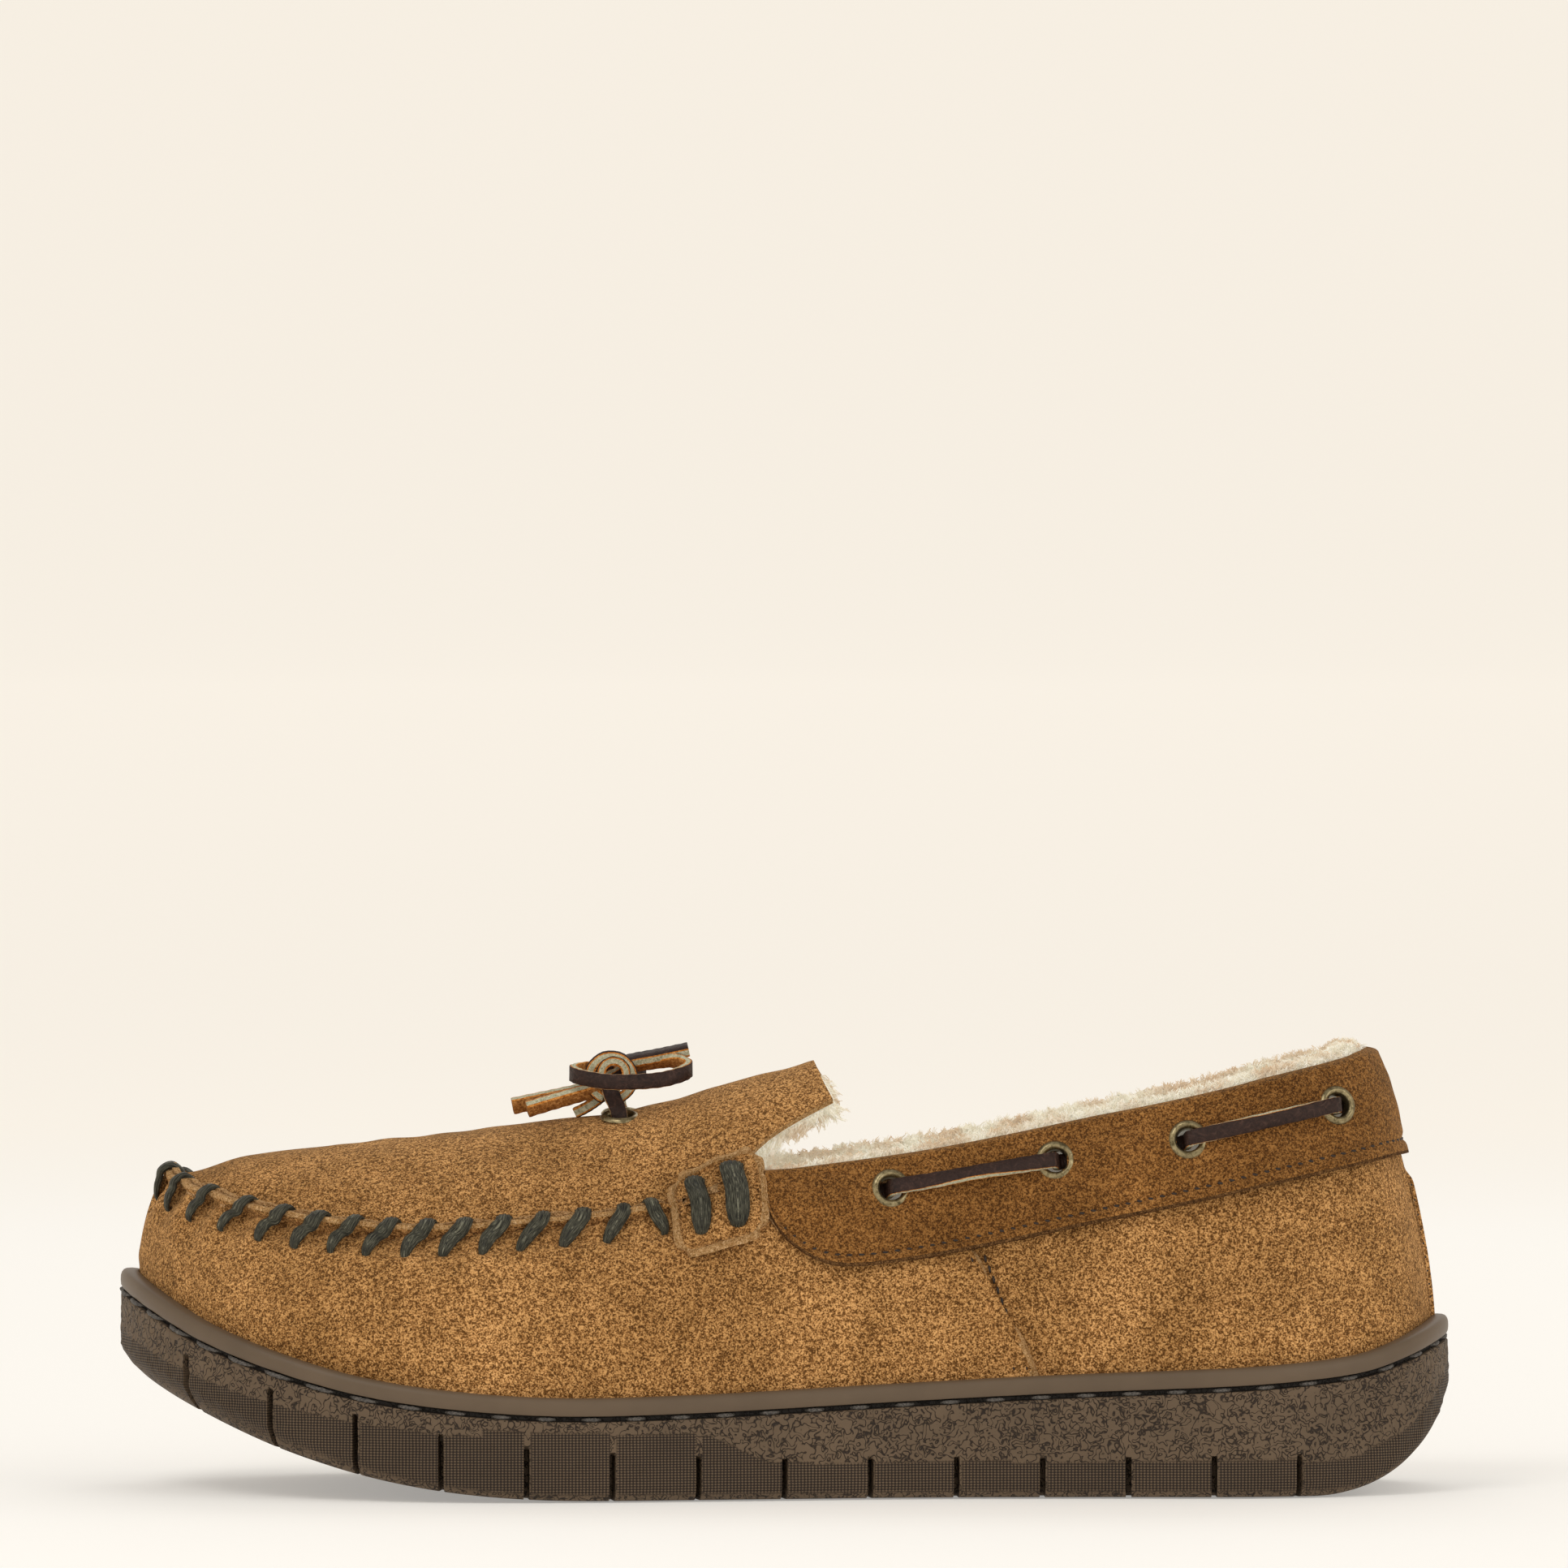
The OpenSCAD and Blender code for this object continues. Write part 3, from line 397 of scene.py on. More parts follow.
class Nodes:
    """Short hand for building one material's node tree."""

    def __init__(self, name):
        self.material = bpy.data.materials.new(name)
        self.material.use_nodes = True
        self.tree = self.material.node_tree
        self.shader = self.tree.nodes["Principled BSDF"]
        self.coords = self.add("ShaderNodeTexCoord").outputs["Object"]

    def add(self, kind, **inputs):
        node = self.tree.nodes.new(kind)
        for key, value in inputs.items():
            self.put(node, key.replace("_", " "), value)
        return node

    def put(self, node, key, value):
        socket = node.inputs[int(key[2:])] if key.startswith("in") and key[2:].isdigit() else node.inputs[key]
        if isinstance(value, bpy.types.NodeSocket):
            self.tree.links.new(value, socket)
        else:
            socket.default_value = value

    def set(self, key, value):
        self.put(self.shader, key, value)

    def noise(self, scale, detail=3.0, rough=0.6, distortion=0.0, coords=None):
        node = self.add("ShaderNodeTexNoise", Vector=coords or self.coords, Scale=scale, Detail=detail,
                        Roughness=rough, Distortion=distortion)
        return node.outputs["Fac"]

    def cells(self, scale):
        return self.add("ShaderNodeTexVoronoi", Vector=self.coords, Scale=scale).outputs["Distance"]

    def ramp(self, value, *stops):
        """Colour ramp. Each stop is a place and an 8-bit sRGB colour."""
        node = self.add("ShaderNodeValToRGB", Fac=value)
        ramp = node.color_ramp
        while len(ramp.elements) < len(stops):
            ramp.elements.new(0.5)
        for element, (place, colour) in zip(ramp.elements, stops):
            element.position = place
            element.color = (*srgb(*colour), 1)
        return node.outputs["Color"]

    def scale(self, value, low, high, to_low=0.0, to_high=1.0):
        node = self.add("ShaderNodeMapRange", Value=value)
        node.clamp = True
        for key, number in (("From Min", low), ("From Max", high), ("To Min", to_low), ("To Max", to_high)):
            node.inputs[key].default_value = number
        return node.outputs["Result"]

    def math(self, kind, a, b=0.0):
        node = self.add("ShaderNodeMath", in0=a, in1=b)
        node.operation = kind
        return node.outputs["Value"]

    def blend(self, a, b, factor, kind="MIX"):
        node = self.tree.nodes.new("ShaderNodeMix")
        node.data_type = "RGBA"
        node.blend_type = kind
        for socket, value in ((node.inputs[0], factor), (node.inputs[6], a), (node.inputs[7], b)):
            if isinstance(value, bpy.types.NodeSocket):
                self.tree.links.new(value, socket)
            else:
                socket.default_value = value if not isinstance(value, tuple) else (*value, 1)
        return node.outputs[2]

    def finish(self, colour, roughness, normal, specular=0.5):
        """Sets the usual inputs of the shader and returns the material."""
        self.set("Base Color", colour)
        self.set("Roughness", roughness)
        self.set("Specular IOR Level", specular)
        self.set("Normal", normal)
        return self.material

    def attribute(self, name):
        node = self.add("ShaderNodeAttribute")
        node.attribute_name = name
        return node.outputs["Fac"]

    def bump(self, height, distance, strength=1.0, under=None):
        node = self.add("ShaderNodeBump", Height=height, Distance=distance, Strength=strength)
        if under is not None:
            self.put(node, "Normal", under)
        return node.outputs["Normal"]


def srgb(r, g, b):
    """Linear colour of an 8-bit sRGB one."""
    return tuple(((v / 255 + 0.055) / 1.055) ** 2.4 if v > 10 else v / 3294.6 for v in (r, g, b))


def suede_material(name, base, contrast=1.0):
    """Napped suede: fine light and dark grain, softly clouded."""
    n = Nodes(name)
    fine = n.noise(2700, 1.0, 0.5, 0.6)
    coarse = n.noise(1250, 1.0, 0.5, 0.6)
    nap = n.math("ADD", n.math("MULTIPLY", fine, 0.6), n.math("MULTIPLY", coarse, 0.4))
    c = np.array(base, float)
    dark = c * mix(1, np.array([0.58, 0.53, 0.42]), contrast)
    light = np.minimum(255, c * mix(1, np.array([1.3, 1.38, 1.5]), contrast) + 6)
    grain = n.ramp(nap, (0.41, dark), (0.5, c), (0.6, light))
    patches = n.scale(n.noise(24, 4.0, 0.6, 0.8), 0.34, 0.68, 0.78, 1.2)
    mottle = n.scale(n.noise(130, 4.0, 0.65), 0.3, 0.7, 0.84, 1.15)
    shade = n.math("MULTIPLY", patches, mottle)
    tone = n.add("ShaderNodeCombineColor", Red=shade, Green=n.math("POWER", shade, 1.08),
                 Blue=n.math("POWER", shade, 1.3))
    n.set("Sheen Weight", 0.22)
    n.set("Sheen Roughness", 0.45)
    n.set("Sheen Tint", (*srgb(232, 196, 146), 1))
    normal = n.bump(nap, 0.0009, 1.0, n.bump(n.noise(300, 2.0), 0.0006, 0.3))
    return n.finish(n.blend(grain, tone.outputs["Color"], 1.0, "MULTIPLY"), 0.93, normal, 0.12)


def edge_material(name, dark, mid, light):
    """Cut edge of the suede: fibrous."""
    n = Nodes(name)
    fibres = n.noise(1900, 3.0, 0.7, 1.2)
    colour = n.ramp(fibres, (0.36, dark), (0.5, mid), (0.64, light))
    return n.finish(colour, 0.95, n.bump(fibres, 0.0008, 0.9), 0.1)


def rubber_material():
    """Moulded sole: smooth lip, painted shade in the stitch channel, worm-like cells above and small lozenges
    below.
    """
    n = Nodes("sole_rubber_moulded")
    knurl, lip, groove = n.attribute("knurl"), n.attribute("lip"), n.attribute("groove")
    split = n.add("ShaderNodeSeparateXYZ", Vector=n.add("ShaderNodeUVMap").outputs["UV"])
    across, up = split.outputs["X"], n.math("MULTIPLY", split.outputs["Y"], 1.25)
    turn = 2 * math.pi / LOZENGE
    waves_across = [n.math("SINE", n.math("MULTIPLY", n.math(kind, across, up), turn))
                    for kind in ("ADD", "SUBTRACT")]
    lozenge = n.scale(n.math("MULTIPLY", *waves_across), -0.2, 0.3)
    path = n.math("ABSOLUTE", n.math("SUBTRACT", n.noise(640, 0.0, 0.4, 1.2), 0.5))
    height = n.blend(n.scale(path, 0.01, 0.075), lozenge, knurl)
    colour = n.blend(srgb(40, 30, 22), srgb(100, 83, 65), height)
    colour = n.blend(colour, srgb(100, 84, 67), lip)
    # Painted shade: the faces in the stitch channel take a near-black rubber colour that stands for the shadow
    # inside it.
    colour = n.blend(colour, srgb(26, 21, 17), groove)
    cloud = n.scale(n.noise(60, 3.0), 0.3, 0.7, 0.88, 1.08)
    tone = n.add("ShaderNodeCombineColor", Red=cloud, Green=cloud, Blue=cloud)
    colour = n.blend(colour, tone.outputs["Color"], 1.0, "MULTIPLY")
    roughness = n.blend((0.66, 0.66, 0.66), (0.46, 0.46, 0.46), lip)
    plain = n.scale(n.noise(420, 2.0), 0, 1, 0.46, 0.54)
    return n.finish(colour, roughness, n.bump(n.blend(height, plain, lip), 0.0004, 0.8), 0.28)


def cord_material():
    """Waxed cord, its fibres drawn out along it by the UVs."""
    n = Nodes("waxed_cord")
    stretch = n.add("ShaderNodeMapping", Vector=n.add("ShaderNodeUVMap").outputs["UV"])
    stretch.inputs["Scale"].default_value = (9000, 500, 1)
    fibre = n.noise(1.0, 3.0, 0.65, 0.3, stretch.outputs["Vector"])
    colour = n.ramp(fibre, (0.38, (24, 23, 18)), (0.5, (58, 57, 46)), (0.64, (118, 116, 98)))
    return n.finish(colour, n.scale(fibre, 0.3, 0.7, 0.62, 0.46), n.bump(fibre, 0.0004, 1.0), 0.3)


def thread_material(name, colour):
    n = Nodes(name)
    twist = n.noise(2600, 2.0, 0.6, 0.5)
    c = np.array(colour)
    return n.finish(n.ramp(twist, (0.35, c * 0.6), (0.65, c * 1.5)), 0.6, n.bump(twist, 0.0002, 0.7))


def grain_material():
    """Smooth dark top side of the lace leather."""
    n = Nodes("lace_grain_side")
    creases = n.noise(500, 4.0, 0.7, 1.5)
    colour = n.ramp(creases, (0.3, (30, 17, 13)), (0.55, (50, 31, 24)), (0.75, (78, 54, 44)))
    normal = n.bump(n.cells(2600), 0.00015, 0.5, n.bump(creases, 0.0003, 0.4))
    return n.finish(colour, n.scale(creases, 0.3, 0.7, 0.62, 0.46), normal, 0.25)


def fibre_material(name, dark, mid, light, scale):
    n = Nodes(name)
    fibre = n.noise(scale, 3.0, 0.65, 0.8)
    colour = n.ramp(fibre, (0.33, dark), (0.5, mid), (0.68, light))
    return n.finish(colour, 0.85, n.bump(fibre, 0.0003, 0.6), 0.2)


def brass_material():
    """Antique brass: tarnish is the darker part."""
    n = Nodes("antique_brass")
    tarnish = n.noise(700, 4.0, 0.7, 0.5)
    colour = n.ramp(tarnish, (0.35, (84, 74, 50)), (0.55, (148, 134, 100)), (0.75, (182, 168, 132)))
    n.set("Metallic", 0.9)
    return n.finish(colour, n.scale(tarnish, 0.3, 0.7, 0.42, 0.26), n.bump(tarnish, 0.00008, 0.4))


def wool_material(name):
    """Wool: cream, golden towards the tips of some locks."""
    n = Nodes(name)
    curl = n.noise(420, 3.0, 0.65, 1.0)
    cream = n.ramp(curl, (0.3, (226, 216, 194)), (0.6, (252, 249, 240)))
    gold = n.math("MULTIPLY", n.attribute("tip"), n.scale(n.noise(120, 2.0, 0.5), 0.46, 0.62, 0, 0.7))
    n.set("Sheen Weight", 0.3)
    # Painted light: a faint glow, not a lamp, brightens the wool all over.
    n.set("Emission Color", (*srgb(240, 238, 222), 1))
    n.set("Emission Strength", 0.15)
    return n.finish(n.blend(cream, srgb(200, 150, 66), gold), 0.9, n.bump(curl, 0.0008, 0.6), 0.15)


SUEDE_FACE = suede_material("suede_nap", (166, 118, 67))
SUEDE_COLLAR = suede_material("suede_nap_collar", (130, 86, 41), 0.85)
SUEDE_BACK = suede_material("suede_flesh_side", (176, 136, 92), 0.6)
SUEDE_EDGE = edge_material("suede_cut_edge", (128, 90, 50), (196, 150, 96), (230, 194, 146))
# Dark cut edge of the collar. On the strip along the collar's lower edge it is also a painted shadow line under
# that edge.
SUEDE_EDGE_DARK_AND_SHADOW = edge_material("suede_cut_edge_dark", (52, 34, 18), (92, 62, 34), (140, 102, 62))
RUBBER = rubber_material()
CORD = cord_material()
SOLE_THREAD = thread_material("sole_thread_black", (66, 62, 58))
# Thread colour together with painted shade: the short stitches are darkened so that they also stand for the shade
# in their stitch holes.
SEAM_THREAD_AND_HOLE_SHADE = thread_material("seam_thread_brown_and_hole_shade", (34, 22, 12))
GRAIN = grain_material()
LACE_CORE = fibre_material("lace_edge_core", (140, 138, 112), (184, 182, 154), (216, 210, 184), 1900)
LACE_BORDER = fibre_material("lace_edge_border", (140, 76, 22), (196, 122, 48), (226, 170, 100), 1700)
LACE_FLESH = fibre_material("lace_flesh_side", (104, 62, 26), (152, 98, 46), (196, 142, 82), 1500)
BRASS = brass_material()
WOOL = wool_material("wool_base")
WOOL_LOCKS = wool_material("wool_locks")

# ---- Shared helpers for soft shapes --------------------------------------------------------------


def waves(points, size, seed):
    """Smooth random field of about -1 to 1 on points, with features of a size in millimetres."""
    g = np.random.default_rng(seed)
    p = np.asarray(points)
    out = np.zeros(p.shape[:-1])
    for _ in range(14):
        k = unit(g.normal(size=3)) * 2 * math.pi / (size * g.uniform(0.7, 1.8))
        out += np.sin(p @ k + g.uniform(0, 2 * math.pi))
    return out / 4.2


def ease(x, low, high):
    f = np.clip((x - low) / (high - low), 0, 1)
    return f * f * (3 - 2 * f)


def grid_normals(p):
    """Unit normals of a grid of points, and the grid's own handedness decides their side."""
    a, b = np.gradient(p, axis=0), np.gradient(p, axis=1)
    return unit(np.cross(a, b) + 1e-12)


def refine(points, per=6):
    """Smooth curve along axis 1 through a grid's control points."""
    return np.stack([spline_path(row, per) for row in points])


def leather(name, grid, thickness, keep=None, materials=None, edge=None):
    """Sheet of leather whose outer face is the grid, thickened inwards. Its cut edge is a third material.
    keep drops cells of the grid, and edge names those that take the cut edge's material."""
    faces = grid_faces(*grid.shape[:2])
    kinds = np.zeros(len(faces), int) if edge is None else 2 * edge.reshape(-1).astype(int)
    if keep is not None:
        faces, kinds = faces[keep.reshape(-1)], kinds[keep.reshape(-1)]
    return thick_sheet(name, grid.reshape(-1, 3), faces, thickness, materials, kinds=kinds)


def thick_sheet(name, points, faces, thickness, materials=None, weld=0.0, kinds=None):
    """Sheet thickened on the side that faces the shoe's middle line. weld joins points closer than that."""
    ob = new_object(name, points, faces, materials or [SUEDE_FACE, SUEDE_BACK, SUEDE_EDGE], kinds)
    if weld:
        bm = bmesh.new()
        bm.from_mesh(ob.data)
        bmesh.ops.remove_doubles(bm, verts=bm.verts, dist=weld * MM)
        bm.to_mesh(ob.data)
        bm.free()
        ob.data.polygons.foreach_set("use_smooth", np.full(len(ob.data.polygons), True))
    me = ob.data
    n = len(me.polygons)
    normals, centres = np.empty(n * 3), np.empty(n * 3)
    me.polygons.foreach_get("normal", normals)
    me.polygons.foreach_get("center", centres)
    out = centres.reshape(-1, 3) - np.array(MIDDLE) * MM
    out[:, 0] = 0
    if (normals.reshape(-1, 3) * out).sum() < 0:
        me.flip_normals()
    thick = ob.modifiers.new("thickness", "SOLIDIFY")
    thick.thickness = thickness * MM
    thick.offset = -1
    thick.use_even_offset = False
    thick.use_rim = True
    thick.material_offset = 1
    thick.material_offset_rim = 2
    apply_modifiers(ob)
    crease_rim(ob, 55)
    return ob


def apply_modifiers(ob):
    graph = bpy.context.evaluated_depsgraph_get()
    mesh = bpy.data.meshes.new_from_object(ob.evaluated_get(graph))
    old = ob.data
    ob.modifiers.clear()
    ob.data = mesh
    bpy.data.meshes.remove(old)


def finish_piece(ob, body, slot, *nodes):
    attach(ob, body)
    if nodes:
        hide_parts(*nodes)
    return ob


def set_uv(ob, uv):
    """Per-vertex UVs, in metres."""
    me = ob.data
    layer = me.uv_layers.new(name="UVMap")
    index = np.empty(len(me.loops), np.int32)
    me.loops.foreach_get("vertex_index", index)
    layer.data.foreach_set("uv", np.asarray(uv, np.float32)[index].reshape(-1))


def set_value(ob, name, values):
    layer = ob.data.attributes.new(name, "FLOAT", "POINT")
    layer.data.foreach_set("value", np.asarray(values, np.float32))


# ---- Vamp ----------------------------------------------------------------------------------------

WHIPS = np.concatenate([march(seam_line, 0.12, 4.36, WHIP_PITCH), [4.46]])
ALL_WHIPS = np.concatenate([-WHIPS[::-1], WHIPS])


def pucker(s, t):
    """How far the leather stands out between the stitches of the apron seam."""
    phase = np.interp(s, ALL_WHIPS, np.arange(len(ALL_WHIPS)))
    lump = 0.5 - 0.5 * np.cos(2 * math.pi * phase)
    toe = 1 - ease(np.abs(s), 1.2, 2.6)
    reach = ease(t, mix(0.62, 0.3, toe), 0.93)
    rear = 1 - ease(np.abs(s), 4.2, 4.6)
    return (lump - 0.6) * reach * mix(0.75, 1.9, toe) * rear


def whip_lean(s):
    """How far a whipstitch's outer foot lies in front of its crest."""
    return (mix(0.03, 0.13, ease(s, 0.3, 1.6)) - 0.035 * ease(s, 3.6, 4.3)) * np.where(s > 4.4, -0.6, 1)


def vamp_edge(t):
    return 6.64 - 0.5 * np.maximum(t, 0)


def vamp_cut(s):
    drop = smooth(VAMP_CUT, np.abs(s))
    return np.where(np.abs(s) <= THROAT, 1, below_top(s, drop))


def ridge_h(s):
    return RIDGE * (1 - ease(np.abs(s), 4.5, 4.62)) + 0.05


def margin_foot(s, up=0.0):
    return (cup_floor(s) + AIR + up - lip_top(s)) / MARGIN_DROP


def seam_dip(s, t):
    """Dents along the two sewn rows in front of the vamp's rear edge."""
    dip = 0.0
    for back in (0.055, 0.13):
        dip = dip + 0.45 * np.exp(-((np.abs(s) - vamp_edge(t) + back) / 0.012) ** 2)
    return dip * ease(t, 0.0, 0.04) - 0.3 * np.exp(-((np.abs(s) - vamp_edge(t) + 0.092) / 0.02) ** 2)


def make_vamp():
    u = np.linspace(-1, 1, 561)
    q = np.concatenate([[-1, -0.5, -0.1], np.linspace(0, 1, 54) ** 0.92])
    uu, qq = np.meshgrid(u, q, indexing="ij")
    s = uu * 6.64
    t = np.maximum(qq, 0)
    s = np.sign(s) * (np.abs(s) - 0.5 * t * ease(np.abs(s), 5.2, 6.64))
    cut = vamp_cut(s)
    tt = np.where(qq < 0, -qq * margin_foot(s, 0.4), t * cut)
    off = np.zeros_like(tt)
    off -= pucker(s, tt) * (qq > 0)
    p0 = skin(s, tt, 0)
    off -= 0.45 * waves(p0, 42, 3) * ease(tt, 0, 0.15)
    off -= 0.16 * waves(p0, 9, 4) * ease(tt, 0, 0.1)
    holes = np.zeros_like(tt)
    for w in ALL_WHIPS:
        gap = s - w + np.sign(w) * whip_lean(abs(w))
        holes += np.exp(-(gap / 0.035) ** 2 - ((tt - below_top(s, 3.7)) / 0.03) ** 2)
    off += 0.9 * holes
    off += 0.35 * np.exp(-((tt - 0.86) / 0.05) ** 2) * (np.abs(s) < 4.9)
    off += seam_dip(s, tt) - 0.5 * np.exp(-((np.abs(s) - vamp_edge(tt)) / 0.04) ** 2) * ease(tt, 0, 0.04)
    p = skin(s, tt, off)
    up = np.array([0.12, 0.35, 0.6, 0.8, 0.93, 1.0])
    st = s[:, -1]
    d, z = top_in(st)[:, None], top_z(st)[:, None]
    lump = pucker(st, np.ones_like(st))[:, None] * 0.8
    flange = at(st[:, None], d - SUEDE * ease(up, -0.1, 0.6) - lump * (1 - 0.6 * up), z + 0.05
                + ridge_h(st)[:, None] * up + 0.25 * waves(at(st, top_in(st), top_z(st)), 5, 8)[:, None] * up)
    behind = np.abs(st) > THROAT
    flange[behind] = p[behind, -1][:, None] + (p[behind, -1] - p[behind, -2])[:, None] * (0.02 * up[:, None])
    grid = np.concatenate([p, flange], 1)
    rear = np.abs(s[:-1, :-1] + s[1:, 1:]) / 2 > vamp_edge((tt[:-1, :-1] + tt[1:, 1:]) / 2) - 0.04
    edge = np.zeros((grid.shape[0] - 1, grid.shape[1] - 1), bool)
    edge[:, : rear.shape[1]] = rear
    edge[:, -3:] |= (np.abs(st[:-1]) < 4.5)[:, None]
    ob = leather("vamp_leather", grid, SUEDE, edge=edge)
    return finish_piece(ob, "shoe", "suede", "vamp")


# ---- Quarters ------------------------------------------------------------------------------------


def make_quarter(side, name, node):
    lap = np.array([-0.16, -0.06, 0.0, 0.02, 0.04, 0.07, 0.11, 0.16, 0.22, 0.3])
    q = np.concatenate([[-1, -0.4], np.linspace(0, 1, 50)])
    out = []
    for row in q:
        t0 = max(row, 0)
        s = vamp_edge(t0) + lap
        end = HEEL - 0.004
        s = np.concatenate([s, s[-1] + (end - s[-1]) * np.linspace(0, 1, 151)[1:]])
        fold = end - np.array([0.075, 0.05, 0.034, 0.03, 0.022, 0.012, 0.004, 0])
        s = np.concatenate([s[s < end - 0.08], fold])
        cut = vamp_cut(s)
        t = np.full_like(s, row) * cut if row >= 0 else -row * margin_foot(s, 0.4)
        off = 1.3 * (1 - ease(s - vamp_edge(t0), 0.04, 0.2)) + 0.4
        p0 = skin(side * s, t, 0)
        off -= (0.5 * waves(p0, 46, 5) + 0.14 * waves(p0, 8, 6)) * ease(t, 0, 0.12)
        raised = np.array([0.0, 0.3, 0.9, 1.15, 1.2, 1.2, 0.9, 0.45])
        lift = np.zeros_like(s)
        lift[-8:] = raised
        foot = band_foot(s) - 0.05
        lift *= 1 - ease(t, foot - 0.06, foot)
        off = off * (1 - ease(s, 9.7, 9.95)) - lift
        out.append(skin(side * s, t, off))
    grid = np.stack([np.concatenate([r[:12], spaced(r[12:-8], 128), r[-8:]]) for r in out], 1)
    ob = leather(name, grid, SUEDE)
    return finish_piece(ob, "shoe", "suede", node)


def spaced(points, count):
    """Points resampled to a count, evenly along their order."""
    x = np.linspace(0, len(points) - 1, count)
    i = np.minimum(x.astype(int), len(points) - 2)
    f = (x - i)[:, None]
    return points[i] * (1 - f) + points[i + 1] * f


# ---- Collar --------------------------------------------------------------------------------------


def eyelet_t(e):
    return mix(band_foot(np.array(e[0])), 1, e[1])


def wall_frame(s, t):
    """Axes on the wall: forward along the outline, up the wall, out of it."""
    s, t = np.asarray(s, float), np.asarray(t, float)
    h = heading(s)
    x = np.concatenate([h, np.zeros(h.shape[:-1] + (1,))], -1)
    nd, nz = wall_in(s, t)
    n = inward(s)
    z = -np.concatenate([n * nd[..., None], nz[..., None]], -1)
    return x, np.cross(z, x), z


def collar_off(s, t):
    """Offset of the collar's face: pressed in along the sewn line, full above it."""
    foot = band_foot(s)
    stitch = np.exp(-((t - foot - 0.052) / 0.014) ** 2)
    puff = ease(t - foot, 0.06, 0.3) * (1 - ease(t, 0.82, 1.0))
    p = skin(s, t, -SUEDE)
    off = -SUEDE - 0.3 + 0.75 * stitch - 0.8 * puff
    return off - 0.3 * waves(p, 30, 11) * puff - 0.14 * waves(p, 7, 12)


def make_collar():
    half = np.concatenate([
        [5.08, 5.09, 5.1, 5.112, 5.125, 5.14, 5.155, 5.175, 5.2, 5.23, 5.27, 5.32],
        np.linspace(5.36, HEEL, 190),
    ])
    s = np.concatenate([half, 2 * HEEL - half[-2::-1]])
    s = np.where(s > HEEL, s - 2 * HEEL, s)
    f = band_foot(s)
    q = np.concatenate([[0, 0.012, 0.03, 0.05], np.linspace(0.075, 1, 34)])
    base = mix(f[:, None], 1, q[None])
    ss = np.repeat(s[:, None], len(q), 1)
    off = collar_off(ss, base)
    face = skin(ss, base, off)
    d0 = beyond(s, -1.15 + 0 * s, 0.9)
    d1 = beyond(s, 0.8 + 0 * s, 1.75)
    d2 = beyond(s, 2.7 + 0 * s, 1.2)
    d3 = skin(s, 1 + 0 * s, LINING_OFF - AIR)
    d4 = skin(s, np.maximum(f, below_top(s, 4)), LINING_OFF - AIR)
    bend = refine(np.stack([face[:, -2], face[:, -1], d0, d1, d2, d3, d4], 1), 5)[:, 6:]
    grid = np.concatenate([face, bend], 1)
    keep = np.ones((grid.shape[0] - 1, grid.shape[1] - 1), bool)
    centre = (grid[:-1, :-1] + grid[1:, 1:]) / 2
    for e in COLLAR_EYELETS:
        for side in (-1, 1):
            hole = skin(side * e[0], eyelet_t(e), -SUEDE)
            keep &= np.linalg.norm(centre - hole, axis=-1) > 3.2
    # The rows at the lower edge and at both front ends take the dark edge material. It is a dark cut edge, and
    # along the lower edge it is also a painted shadow line.
    edge = np.zeros_like(keep)
    edge[:, :2] = True
    edge[:2] = edge[-2:] = True
    suedes = [SUEDE_COLLAR, SUEDE_BACK, SUEDE_EDGE_DARK_AND_SHADOW]
    ob = leather("collar_leather", grid, SUEDE * 0.95, keep, suedes, edge)
    return finish_piece(ob, "shoe", "suede", "collar")


# ---- Apron and tongue: one sheet of suede ----------------------------------------------------------


def up_of(v):
    return unit(np.stack([np.zeros_like(v[..., 0]), -v[..., 2], v[..., 1]], -1))


def apron_at(k, w, off):
    return apron(k, w) - np.asarray(off)[..., None] * up_of(apron(k, w + 0.02) - apron(k, w - 0.02))


def tongue_at(f, w, off):
    return tongue(f, w) - np.asarray(off)[..., None] * up_of(tongue(f, w + 0.02) - tongue(f, w - 0.02))


def edge_columns():
    """Columns across the apron, closer together near the seam."""
    w = np.linspace(-1, 1, 61)
    return np.sign(w) * np.abs(w) ** 0.8


